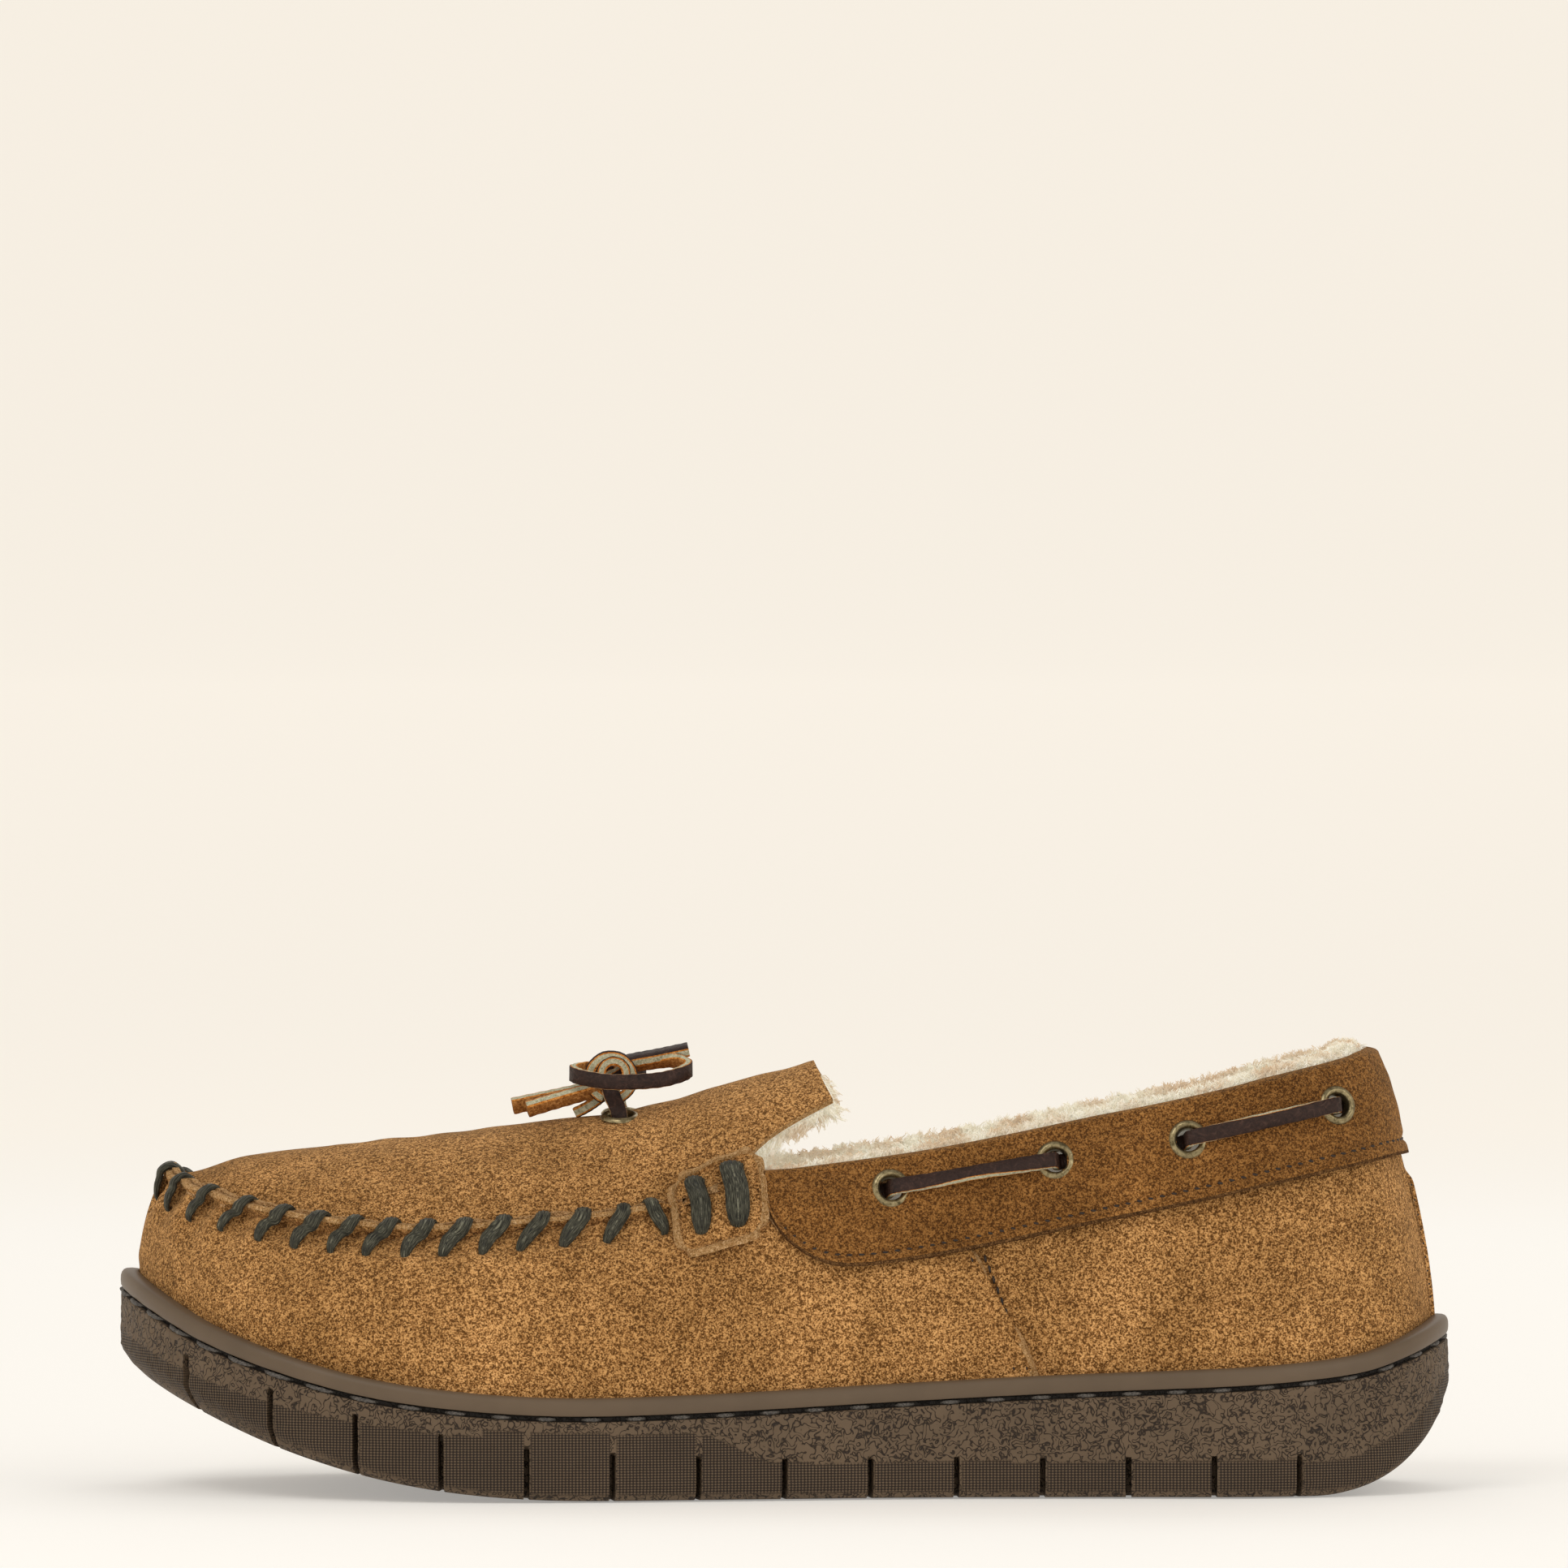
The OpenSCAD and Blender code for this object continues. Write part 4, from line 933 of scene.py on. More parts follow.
def make_apron():
    w = edge_columns()
    k = np.concatenate([[0.012, 0.05, 0.1, 0.16, 0.23], np.linspace(0.3, 4.86, 118)])
    kk, ww = np.meshgrid(k, w, indexing="ij")
    top = apron(kk, ww)
    middle = 1 - np.abs(ww) ** 4
    off = -(0.35 * waves(top, 46, 21) + 0.12 * waves(top, 9, 22)) * middle
    phase = np.interp(kk, WHIPS, np.arange(len(WHIPS)))
    dimple = (0.5 + 0.5 * np.cos(2 * math.pi * phase)) * ease(np.abs(ww), 0.74, 0.97) * (kk < 4.4)
    off += 0.55 * dimple
    cap = apron_at(kk, ww, off)
    f = np.concatenate([[0.12, 0.24, 0.36], np.linspace(0.46, 1, 16)])
    ff, tw = np.meshgrid(f, w, indexing="ij")
    free = tongue(ff, tw)
    curl = ease(ff, 0.7, 1.0) * 0.5 * waves(free, 16, 23)
    free = tongue_at(ff, tw, -curl - 0.2 * waves(free, 12, 24))
    # The row at the crease eases between the two surfaces
    crease = (cap[-1] + free[0]) / 2
    sheet = np.concatenate([cap, crease[None], free])
    r, c = sheet.shape[:2]
    faces = [grid_faces(r, c)]
    points = [sheet.reshape(-1, 3)]
    # The turned-up edge along the seam, from the outer rear end round the toe to the inner rear end
    st = np.concatenate([-k[::-1], k])
    root = np.concatenate([cap[::-1, 0], cap[:, -1]])
    crest = at(st, top_in(st) + SUEDE, top_z(st) + ridge_h(st) + 0.5 + 0.4 * waves(seam_line(st), 5, 9))
    mid = at(st, top_in(st) + SUEDE + 0.15, top_z(st) + 0.9 + 0 * st)
    strip = np.stack([spline_path([a, b, d], 3)[[0, 1, 2, 4, 5, 6]] for a, b, d in zip(root, mid, crest)])
    start = r * c
    faces.append(grid_faces(*strip.shape[:2], start))
    points.append(strip.reshape(-1, 3))
    ob = thick_sheet("apron_and_tongue_leather", np.concatenate(points), np.concatenate(faces), SUEDE * 0.93,
                     weld=0.02)
    hide_holes(ob)
    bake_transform(ob)
    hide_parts("apron_plug", "tongue_flap")
    return ob


def hide_holes(ob):
    """Opens the two lace holes of the apron."""
    bm = bmesh.new()
    bm.from_mesh(ob.data)
    doomed = set()
    for side in (-1, 1):
        hole = apron(EYELET_K, side * EYELET_W) * MM
        for face in bm.faces:
            v = face.calc_center_median() - Vector(hole)
            if v.xy.length < 0.0031 and abs(v.z) < 0.004:
                doomed.add(face)
    bmesh.ops.delete(bm, geom=list(doomed), context="FACES")
    bm.to_mesh(ob.data)
    bm.free()


# ---- Tabs over the rear ends of the seam -----------------------------------------------------------


TIES = ((4.72, 57.6, 4.3), (4.925, 59.4, 5.1))


def make_tab(side, name, node):
    n = 34
    g = np.linspace(-1, 1, n)
    a, b = np.meshgrid(g, g, indexing="ij")
    # Rounded square from a square
    power = 5.0
    length = (np.abs(a) ** power + np.abs(b) ** power + 1e-9) ** (1 / power)
    scale = np.maximum(np.abs(a), np.abs(b)) / length
    a, b = a * scale, b * scale
    s = mix(4.585, 5.085, (a + 1) / 2)
    low = wall_at(s, mix(52.9, 58.4, (a + 1) / 2))
    h = (b + 1) / 2
    out = []
    for i in range(n):
        row = []
        si = s[i]
        for j in range(n):
            sj, lo = si[j], low[i, j]
            fs = [mix(lo, 1, f) for f in (0, 0.34, 0.67, 0.94)]
            ctrl = [skin(side * sj, f, -1.9) for f in fs]
            ctrl += [apron_at(sj, side * w, -2.1) for w in (0.97, 0.9)]
            path = spline_path(ctrl, 5)
            x = h[i, j] * (len(path) - 1)
            k = min(int(x), len(path) - 2)
            row.append(mix(path[k], path[k + 1], x - k))
        out.append(row)
    p = np.array(out)
    nrm = grid_normals(p)
    nrm *= np.sign((nrm * (p - np.array(MIDDLE))).sum(-1, keepdims=True))
    press = 0.0
    for c, _, _ in TIES:
        press = press + 0.8 * np.exp(-((s - c) / 0.055) ** 2) * ease(h, 0.12, 0.4)
    side_on = np.maximum(np.abs(a), np.abs(b))
    rim = 0.5 * np.exp(-((side_on - 0.86) / 0.06) ** 2) - 0.75 * ease(side_on, 0.88, 1.0)
    p = p - nrm * (press + rim - 0.25 * waves(p, 10, 31))[..., None]
    edge = np.zeros((n - 1, n - 1), bool)
    edge[0] = edge[-1] = True
    edge[:, 0] = edge[:, -1] = True
    ob = leather(name, p, SUEDE, edge=edge)
    return finish_piece(ob, "shoe", "suede", node)


make_vamp()
make_quarter(-1, "quarter_leather_lateral", "quarter_lateral")
make_quarter(1, "quarter_leather_medial", "quarter_medial")
make_collar()
make_apron()
make_tab(-1, "throat_tab_leather_lateral", "throat_tab_lateral")
make_tab(1, "throat_tab_leather_medial", "throat_tab_medial")

# ---- Sole ----------------------------------------------------------------------------------------


def tread_z(x):
    toe = 25 * (np.maximum(-40 - x, 0) / 108) ** 2.2
    run = (np.clip(x, 118, 147.8) - 118) / 30.5
    return toe + 26 * (1 - np.sqrt(1 - run * run))


def stations_at(x, side):
    """Stations of a side whose outline has these x."""
    s = np.linspace(0, HEEL, 6000) * side
    px = np.maximum.accumulate(plan(s)[:, 0])
    return np.interp(x, px + np.arange(len(px)) * 1e-9, s)


def make_outsole():
    sipes = SIPE_START + SIPE_PITCH * np.arange(SIPES)
    half = SIPE_W / 2
    cuts = [x + k for x in sipes for k in (-half, -half + 0.12, -0.3, 0.3, half - 0.12, half)]
    plain = -147.99 * np.cos(np.linspace(0.006, math.pi - 0.006, 560))
    xs = np.sort(np.concatenate([[v for v in plain if np.min(np.abs(sipes - v)) > half + 0.2], cuts]))
    ring = np.concatenate([stations_at(xs, 1), stations_at(xs, -1)[::-1]])
    x = plan(ring)[:, 0]
    tread, lip, floor = tread_z(x), lip_top(ring), cup_floor(ring)
    bend = 1 + 1.8 * (1 - ease(x, -135, -70))
    levels = [(3.0 * bend, tread), (1.6 * bend, tread + 0.25 * bend), (0.9 * bend, tread + 0.9 * bend),
              (0.3 + 0.15 * bend, tread + 1.9 * bend)]
    low, high = tread + 1.1 + 1.9 * bend, lip - LIP_H - 2.1
    count = 26
    for i in range(count):
        f = i / (count - 1)
        levels.append((mix(0.2, 0.3, f), mix(low, high, f)))
    levels += [
        (0.55, lip - 5.25), (1.3, lip - 5.1), (1.6, lip - 4.95), (1.62, lip - 4.25), (1.35, lip - 4.05),
        (0.5, lip - 3.85), (0.28, lip - 3.35), (0.2, lip - 2.4), (0.25, lip - 1.4), (0.45, lip - 0.75),
        (0.85, lip - 0.25), (1.4, lip - 0.02), (2.4, lip + 0.05), (3.5, lip - 0.05), (4.1, lip - 0.3),
        (4.3, lip - 0.9), (4.3, lip - 5), (4.3, floor),
    ]
    d = np.stack([np.broadcast_to(v[0], ring.shape) for v in levels], 1).astype(float)
    z = np.stack([np.broadcast_to(v[1], ring.shape) for v in levels], 1).astype(float)
    gap = np.min(np.abs(x[:, None] - sipes[None]), axis=1)
    top = (tread + smooth(SIPE_TOP, x))[:, None]
    inside = ease(half - gap, 0.02, 0.1)[:, None]
    arch = np.sqrt(np.maximum(1 - (gap / half) ** 2, 0))[:, None] * half
    slot = inside * (1 - ease(z, top + arch - 0.5, top + arch + 0.1))
    d = np.where(np.arange(d.shape[1]) < 30, d + 5.5 * slot, d)
    side_wall = (np.arange(d.shape[1]) >= 3) & (np.arange(d.shape[1]) < 31)
    p = at(ring[:, None], d, z)
    grain = 0.12 * waves(p, 3.2, 41) + 0.08 * waves(p, 1.7, 42)
    p = at(ring[:, None], d + grain * side_wall[None] * (slot < 0.1), z)
    n, m = p.shape[:2]
    # Strips from side to side close the underside and the cup
    i = np.arange(n // 2 - 1)
    strips = np.stack([i, i + 1, n - 2 - i, n - 1 - i], -1) * m
    faces = np.concatenate([grid_faces(n, m, wrap=True), strips, strips + m - 1])
    ob = new_object("outsole_moulded", p.reshape(-1, 3), faces, [RUBBER])
    outward(ob)
    crease_rim(ob, 42)
    length = np.concatenate([[0], np.cumsum(np.linalg.norm(np.diff(plan(ring), axis=0), axis=1))])
    set_uv(ob, np.stack([np.broadcast_to(length[:, None], z.shape), z], -1).reshape(-1, 2) * MM)
    line = tread + mix(14.8, 8.0, ease(x, -20, 0))
    line = np.where(x < -66, tread + mix(9.5, 13.0, ease(x, -140, -66)), line)
    knurl = (z < line[:, None]) & side_wall[None] & (gap[:, None] > half)
    set_value(ob, "knurl", knurl.reshape(-1))
    column = np.broadcast_to(np.arange(m), (n, m)).reshape(-1)
    set_value(ob, "lip", column >= 35)
    # Painted shade: the four columns inside the stitch channel are marked here to be painted dark.
    set_value(ob, "groove", (column > 30) & (column < 35))
    finish_piece(ob, "shoe", "sole_rubber", "outsole")


make_outsole()


def twisted(path, ups, width, thick, strands, turns, sides=28, depth=0.16, taper=(0.35, 0.5)):
    """Rings of a twisted or fibrous bundle along a path."""
    n = len(path)
    angle = np.linspace(0, 2 * math.pi, sides, endpoint=False)
    f = np.linspace(0, 1, n)[:, None]
    ripple = 1 + depth * np.cos(strands * (angle[None] + turns * 2 * math.pi * f))
    swell = np.minimum(1, mix(taper[0], 1, ease(f, 0, 0.28)))
    swell = swell * np.minimum(1, mix(taper[1], 1, ease(1 - f, 0, 0.22)))
    section = np.stack([np.cos(angle)[None] * ripple * width / 2 * swell,
                        np.sin(angle)[None] * ripple * thick / 2 * swell], -1)
    return sweep(path, ups, section)


def tube_uv(tubes):
    """UVs of merged tubes: around and along, in metres."""
    out = []
    for k, rings in enumerate(tubes):
        r, n = rings.shape[:2]
        length = np.concatenate([[0], np.cumsum(np.linalg.norm(np.diff(rings.mean(1), axis=0), axis=1))])
        size = np.linalg.norm(rings[:, 0] - rings[:, n // 2], axis=-1).mean() * math.pi
        around = np.linspace(0, size, n)
        around = np.minimum(around, size - around) * 2
        uv = np.stack(np.broadcast_arrays(around[None], length[:, None] + 37.0 * k), -1).reshape(-1, 2)
        out += [uv, uv[[0, -1]]]
    return np.concatenate(out) * MM


def make_sole_stitching():
    tubes = []
    outline = lambda s: np.concatenate([plan(s), np.zeros((len(s), 1))], -1)
    line = march(outline, -HEEL + 0.05, HEEL - 0.1, SOLE_PITCH)
    for s in line:
        x = plan(np.array(s))[0]
        toe = 1 - ease(x, -110, -60)
        length = mix(4.6, 7.4, toe)
        speed = np.linalg.norm(plan(np.array(s + 0.01)) - plan(np.array(s - 0.01))) / 0.02
        ss = s + np.linspace(0, length / speed, 9)
        f = np.linspace(-1, 1, 9)
        sink = mix(0.95, 0.4, toe) + 1.5 * np.abs(f) ** 3
        path = at(ss, sink, lip_top(ss) - LIP_H - 1.08)
        tubes.append(twisted(path, np.tile([0, 0, 1.0], (9, 1)), 1.05, 0.95, 2, 1.9, 12, 0.16, (0.7, 0.7)))
    ob = merge_tubes("sole_stitching_thread", tubes, [SOLE_THREAD])
    finish_piece(ob, "shoe", "sole_thread", "sole_stitching")


make_sole_stitching()

# ---- Whipstitches and ties -------------------------------------------------------------------------


def make_whipstitches(side, name, node):
    tubes = []
    for i, s in enumerate(WHIPS):
        lean = whip_lean(s)
        g = np.random.default_rng(100 + i + (side > 0) * 50)
        foot = s - lean + g.uniform(-0.012, 0.012)
        top, zed = top_in(s), top_z(s)
        ctrl = [
            skin(side * foot, below_top(foot, 4.6), 1.2), skin(side * foot, below_top(foot, 3.6), -0.3),
            skin(side * (s - lean * 0.7), below_top(s, 2.0), -1.35),
            at(side * (s - lean * 0.35), top - SUEDE - 0.95, zed + 0.5),
            at(side * (s - lean * 0.02), top - SUEDE - 0.55, zed + RIDGE - 0.4),
            at(side * (s + lean * 0.1), top + 0.1, zed + RIDGE + 0.75),
            at(side * (s + lean * 0.2), top + SUEDE + 0.6, zed + RIDGE - 0.5),
            at(side * (s + lean * 0.3), top + SUEDE + 1.3, zed + 0.8),
            at(side * (s + lean * 0.4), top + SUEDE + 2.0, zed - 0.9),
        ]
        path = spline_path([np.asarray(p, float).reshape(3) for p in ctrl], 5)
        along = np.concatenate([heading(np.array(side * s)), [0]])
        tubes.append(twisted(path, np.tile(along, (len(path), 1)), 1.5, 3.3 * g.uniform(0.9, 1.08), 9,
                             g.uniform(-0.25, 0.45), 34, 0.09, (0.4, 0.6)))
    ob = merge_tubes(name, tubes, [CORD])
    set_uv(ob, tube_uv(tubes))
    finish_piece(ob, "shoe", "cord", node)


def make_ties(side, name, node):
    tubes = []
    for i, (s, foot, width) in enumerate(TIES):
        ctrl = [
            skin(side * s, wall_at(s, foot), 0.6), skin(side * s, wall_at(s, foot + 0.9), -2.2),
            skin(side * s, wall_at(s, foot + 4), -3.5), skin(side * s, 0.93, -3.8),
        ]
        ctrl += [apron_at(np.array(s), np.array(side * w), np.array(off))
                 for w, off in ((0.985, -3.5), (0.955, -2.4), (0.94, -0.6), (0.94, 1.2))]
        path = spline_path([np.asarray(p, float).reshape(3) for p in ctrl], 6)
        ups = np.tile(np.concatenate([heading(np.array(side * s)), [0]]), (len(path), 1))
        tubes.append(twisted(path, ups, 2.4, width, 13, 0.1 + 0.1 * i, 52, 0.08, (0.4, 0.6)))
    ob = merge_tubes(name, tubes, [CORD])
    set_uv(ob, tube_uv(tubes))
    finish_piece(ob, "shoe", "cord", node)


make_whipstitches(-1, "whipstitches_lateral", "whipstitch_lateral")
make_whipstitches(1, "whipstitches_medial", "whipstitch_medial")
make_ties(-1, "tab_tie_cord_lateral", "tab_ties_lateral")
make_ties(1, "tab_tie_cord_medial", "tab_ties_medial")

# ---- Sewn lines ------------------------------------------------------------------------------------


def short_stitch(s, t, off, length, width, turn=0.0):
    """Rings of one short thread on the wall, sunk at both ends."""
    x, y, z = wall_frame(s, t)
    c, k = math.cos(turn), math.sin(turn)
    run = x * c + y * k
    f = np.linspace(-1, 1, 7)[:, None]
    path = skin(s, t, off) + run * f * length / 2 - z * (0.55 * np.abs(f) ** 3)
    return twisted(path, np.tile(z, (7, 1)), width, width * 0.8, 2, 0.8, 8, 0.1, (0.6, 0.6))


def make_seams():
    tubes = []
    for side in (-1, 1):
        for s in march(lambda s: skin(s, band_foot(s), 0), 5.2, 9.96, 2.62):
            t = band_foot(s) + 0.052
            rise = skin(s + 0.02, band_foot(s + 0.02), 0)[2] - skin(s - 0.02, band_foot(s - 0.02), 0)[2]
            turn = math.atan2(float(rise), 1.6)
            tubes.append(short_stitch(side * s, t, collar_off(side * s, t) - 0.05, 1.7, 0.62, turn * side))
    ob = merge_tubes("collar_seam_thread", tubes, [SEAM_THREAD_AND_HOLE_SHADE])
    finish_piece(ob, "shoe", "seam_thread", "collar_stitching")
    for side, name in ((-1, "lateral"), (1, "medial")):
        tubes = []
        for i in range(11):
            t = mix(0.03, 0.5, i / 10)
            for back in (0.055, 0.13):
                s = side * (vamp_edge(t) - back)
                tubes.append(short_stitch(s, t, seam_dip(s, t) - 0.1, 1.6, 0.6, math.radians(82 * side)))
        ob = merge_tubes("vamp_seam_thread_" + name, tubes, [SEAM_THREAD_AND_HOLE_SHADE])
        finish_piece(ob, "shoe", "seam_thread", "vamp_stitching_" + name)
    top = float(band_foot(np.array(HEEL))) - 0.12
    tubes = [short_stitch(HEEL, mix(0.08, top, i / 8), -0.75, 2.6, 0.6) for i in range(9)]
    ob = merge_tubes("heel_seam_thread", tubes, [SEAM_THREAD_AND_HOLE_SHADE])
    finish_piece(ob, "shoe", "seam_thread", "heel_seam_stitching")


make_seams()

# ---- Eyelets ---------------------------------------------------------------------------------------


def make_eyelets():
    profile = spline_path([
        (2.5, -2.1), (2.5, -0.9), (2.52, 0.1), (2.75, 0.62), (3.25, 0.92), (3.8, 0.72), (4.15, 0.3), (4.25, 0.02),
        (4.1, -0.06), (3.2, -0.04), (2.95, -0.3), (2.9, -2.1),
    ], 3) * [1.04, 1.0]
    turns = 56
    angle = np.linspace(0, 2 * math.pi, turns, endpoint=False)
    places = [("eyelet_%s_%d" % (name, i + 1), "shoe", wall_place(side, e))
              for side, name in ((-1, "lateral"), (1, "medial")) for i, e in enumerate(COLLAR_EYELETS)]
    places += [("eyelet_plug_" + name, "shoe", apron_place(side))
               for side, name in ((-1, "lateral"), (1, "medial"))]
    for name, body, (p, x, y, z) in places:
        r, h = profile[:, 0][:, None, None], profile[:, 1][:, None, None]
        points = p + r * (np.cos(angle)[:, None] * x + np.sin(angle)[:, None] * y)[None] + h * z
        n = len(profile)
        i, j = np.meshgrid(np.arange(n), np.arange(turns), indexing="ij")
        a, b = i * turns + j, i * turns + (j + 1) % turns
        c, d = ((i + 1) % n) * turns + (j + 1) % turns, ((i + 1) % n) * turns + j
        faces = np.stack([a, b, c, d], -1).reshape(-1, 4)
        ob = new_object(name + "_ring", points.reshape(-1, 3), faces, [BRASS])
        outward(ob)
        finish_piece(ob, body, "brass", name)


def wall_place(side, e):
    t = eyelet_t(e)
    x, y, z = wall_frame(np.array(side * e[0]), t)
    return skin(side * e[0], t, -SUEDE - 0.35), x, y, z


def apron_place(side):
    k, w = np.array(EYELET_K), np.array(side * EYELET_W)
    z = up_of(apron(k, w + 0.02) - apron(k, w - 0.02))
    y = unit(np.cross(z, [1.0, 0, 0]))
    return apron_at(k, w, -0.3), np.cross(y, z), y, z


make_eyelets()

# ---- Laces -----------------------------------------------------------------------------------------

# Strap section: x through the thickness with the grain side at +x, y across the width
STRAP = np.array([
    (0.8, -1.5), (0.8, 0), (0.8, 1.5), (0.62, 1.66), (0.4, 1.7), (0, 1.74), (-0.45, 1.7), (-0.66, 1.66),
    (-0.8, 1.5), (-0.8, 0), (-0.8, -1.5), (-0.66, -1.66), (-0.45, -1.7), (0, -1.74), (0.4, -1.7), (0.62, -1.66),
])
STRAP_SIDES = np.array([0, 0, 0, 1, 2, 2, 1, 1, 3, 3, 1, 1, 2, 2, 1, 0])
STRAP_MATERIALS = [GRAIN, LACE_BORDER, LACE_CORE, LACE_FLESH]


def strap(path, ups, roll=0.0, flip=1.0, width=1.0, thick=1.0):
    """Rings of the lace along a path. ups is across its width, roll leans it in degrees, and flip = -1
    turns the grain side over."""
    path = np.asarray(path, float)
    n = len(path)
    ups = np.broadcast_to(np.asarray(ups, float), (n, 3))
    roll = np.radians(np.broadcast_to(roll, n))[:, None]
    g = STRAP * [thick, width]
    wear = 1 + 0.03 * np.sin(np.arange(n) * 1.7)[:, None]
    x = g[:, 0][None] * flip * wear
    y = g[:, 1][None] * wear
    section = np.stack([x * np.cos(roll) - y * np.sin(roll), x * np.sin(roll) + y * np.cos(roll)], -1)
    return sweep(path, ups, section)


PASS = [(-0.11, 1.6), (-0.04, 1.4), (-0.012, 0.7), (-0.004, -0.6), (0.004, -2.2), (0.02, -3.1), (0.075, -3.6)]


def through(e, way):
    if way > 0:
        return [(e[0] + a, e[1], b) for a, b in PASS]
    return [(e[0] - a, e[1], b) for a, b in PASS[::-1]]


def lace_points():
    e = COLLAR_EYELETS
    q = [(5.5, 0.7, 1.6)] + through(e[0], 1)
    q += [(6.06, 0.71, -3.75), (6.28, 0.715, -3.7), (6.52, 0.7, -3.65)] + through(e[1], -1)
    q += [(7.12, 0.66, 1.6)] + through(e[2], 1)
    q += [(7.74, 0.63, -3.75), (8.05, 0.63, -3.8), (8.34, 0.63, -3.65)] + through(e[3], -1)
    q += [(8.86 + i * 0.27, 0.6, 1.6) for i in range(5)]
    return np.array(q)


def make_collar_lace():
    for side, name in ((-1, "lateral"), (1, "medial")):
        q = lace_points()
        if side > 0:
            q = np.concatenate([q, [(HEEL, 0.6, 1.6)]])
        q = spline_path(q, 7)
        t = mix(band_foot(q[:, 0]), 1, q[:, 1])
        path = skin(side * q[:, 0], t, q[:, 2])
        up = unit(skin(side * q[:, 0], t + 0.02, q[:, 2]) - skin(side * q[:, 0], t - 0.02, q[:, 2]))
        lean = -34 * np.exp(-((q[:, 0] - 6.28) / 0.3) ** 2) + 30 * np.exp(-((q[:, 0] - 8.03) / 0.34) ** 2)
        rings = strap(path, up, lean * -side, flip=side)
        ob = merge_tubes("collar_lace_" + name, [rings], STRAP_MATERIALS, STRAP_SIDES)
        finish_piece(ob, "shoe", "strap", "collar_lace")


make_collar_lace()

# Bow: the strap's two ends tied over the apron. Points are [x, y, z].
BOW_LOOP = [
    (-36, -4.5, 93.6), (-30, -3.2, 94.4), (-24.5, -4.5, 94.9), (-21.3, -8.5, 93.6), (-22.6, -12.4, 92.4),
    (-27, -14.3, 91.2), (-33, -15, 90.7), (-39, -14.8, 90.7), (-44.5, -12.8, 91.5), (-46.7, -9, 92.3),
    (-45, -6, 92.9), (-40, -5, 93.2),
]
BOW_LOOP_UPS = [(0, -0.8, 0.6)] * 3 + [(0, -0.2, 1), (0, 0, 1)] + [(0, 0.1, 1)] * 7
BOW_SMALL_LOOP = [
    (-37.5, -3, 92), (-42, -0.5, 91.8), (-45, 3, 91.2), (-43, 6.5, 90.8), (-38, 8, 90.8), (-33, 7.5, 91.2),
    (-31.5, 4.5, 92), (-35, 0, 92.4),
]
BOW_REAR_END = [(-36, -4.5, 94.4), (-33, -4.4, 95.1), (-29, -4, 95.8), (-25, -3.6, 96.6), (-21.2, -3.5, 97.4)]
BOW_FRONT_END = [(-39.5, -6, 89.2), (-43, -6.8, 88.3), (-47, -7.5, 87.2), (-52, -8.3, 85.8), (-57, -9, 84.3)]
BOW_FAR_END = [(-40, -3, 89.2), (-45, -3.4, 88.0), (-50, -3.6, 86.9), (-55, -4, 85.9), (-60.3, -4.5, 84.8)]
BOW_LOW_END = [(-40.4, -3.4, 86.9), (-42, -3.3, 85.7), (-44, -3.2, 84.4), (-46.4, -3, 83.2)]
KNOT_CROSS = [(-43.6, -4, 88.4), (-40.5, -3.6, 89.8), (-37, -3.2, 91.6), (-33.6, -3.4, 93.6)]
KNOT = np.array([-38.4, -6.2, 91.2])


def knot_ring(radius, start, stop, y, squash_z=1.0, dx=0.0, dz=0.0):
    a = np.radians(np.linspace(start, stop, 30))
    f = np.linspace(0, 1, 30)
    return KNOT + np.stack([radius * np.cos(a) + dx, y * f, radius * squash_z * np.sin(a) + dz], -1)


def make_bow():
    lat = apron(np.array(EYELET_K), np.array(-EYELET_W))
    med = apron(np.array(EYELET_K), np.array(EYELET_W))
    tubes = [strap(spline_path(BOW_LOOP, 8), spline_path(BOW_LOOP_UPS, 8), thick=1.2)]
    ob = merge_tubes("bow_near_loop", tubes, STRAP_MATERIALS, STRAP_SIDES)
    finish_piece(ob, "bow", "strap", "bow")
    tubes = [strap(spline_path(BOW_SMALL_LOOP, 8), (0, 0, 1))]
    ob = merge_tubes("bow_far_loop", tubes, STRAP_MATERIALS, STRAP_SIDES)
    finish_piece(ob, "bow", "strap")
    tubes = [
        strap(spline_path(BOW_REAR_END, 7), (0, -0.94, -0.35), thick=1.4),
        strap(spline_path(BOW_FRONT_END, 7), (0, -0.66, 0.75), flip=-1, thick=1.4),
        strap(spline_path(BOW_FAR_END, 7), (0, -0.3, 0.95), flip=-1, thick=1.4),
        strap(spline_path(BOW_LOW_END, 7), (0, -1, 0), thick=1.5),
    ]
    ob = merge_tubes("bow_free_ends", tubes, STRAP_MATERIALS, STRAP_SIDES)
    finish_piece(ob, "bow", "strap")
    tubes = [
        strap(knot_ring(4.9, 250, -95, 1.2), (0, -1, 0), thick=1.4),
        strap(knot_ring(2.8, 215, -70, 0.8, 1.0, 0.6, 1.0), (0, -1, 0), thick=1.3),
        strap(spline_path(KNOT_CROSS, 7), (0, -0.5, 0.87), flip=-1, thick=1.4),
    ]
    ob = merge_tubes("bow_knot", tubes, STRAP_MATERIALS, STRAP_SIDES)
    finish_piece(ob, "bow", "strap")
    tubes = []
    for foot, side in ((lat, -1), (med, 1)):
        path = [foot - [0, 0, 3.0], foot + [-0.1, 0, 0.2], foot + [-0.7, -0.5 * side, 2.6],
                mix(foot, KNOT + [0, side * 1.5, -2.2], 0.8) + [-0.5, 0, 0.4], KNOT + [0, side * 1.2 + 0.8, -1.5]]
        tubes.append(strap(spline_path(path, 6), (1, 0, 0), width=1.05, thick=1.2))
    ob = merge_tubes("bow_legs", tubes, STRAP_MATERIALS, STRAP_SIDES)
    finish_piece(ob, "bow", "strap")


make_bow()

# ---- Wool linings ------------------------------------------------------------------------------------


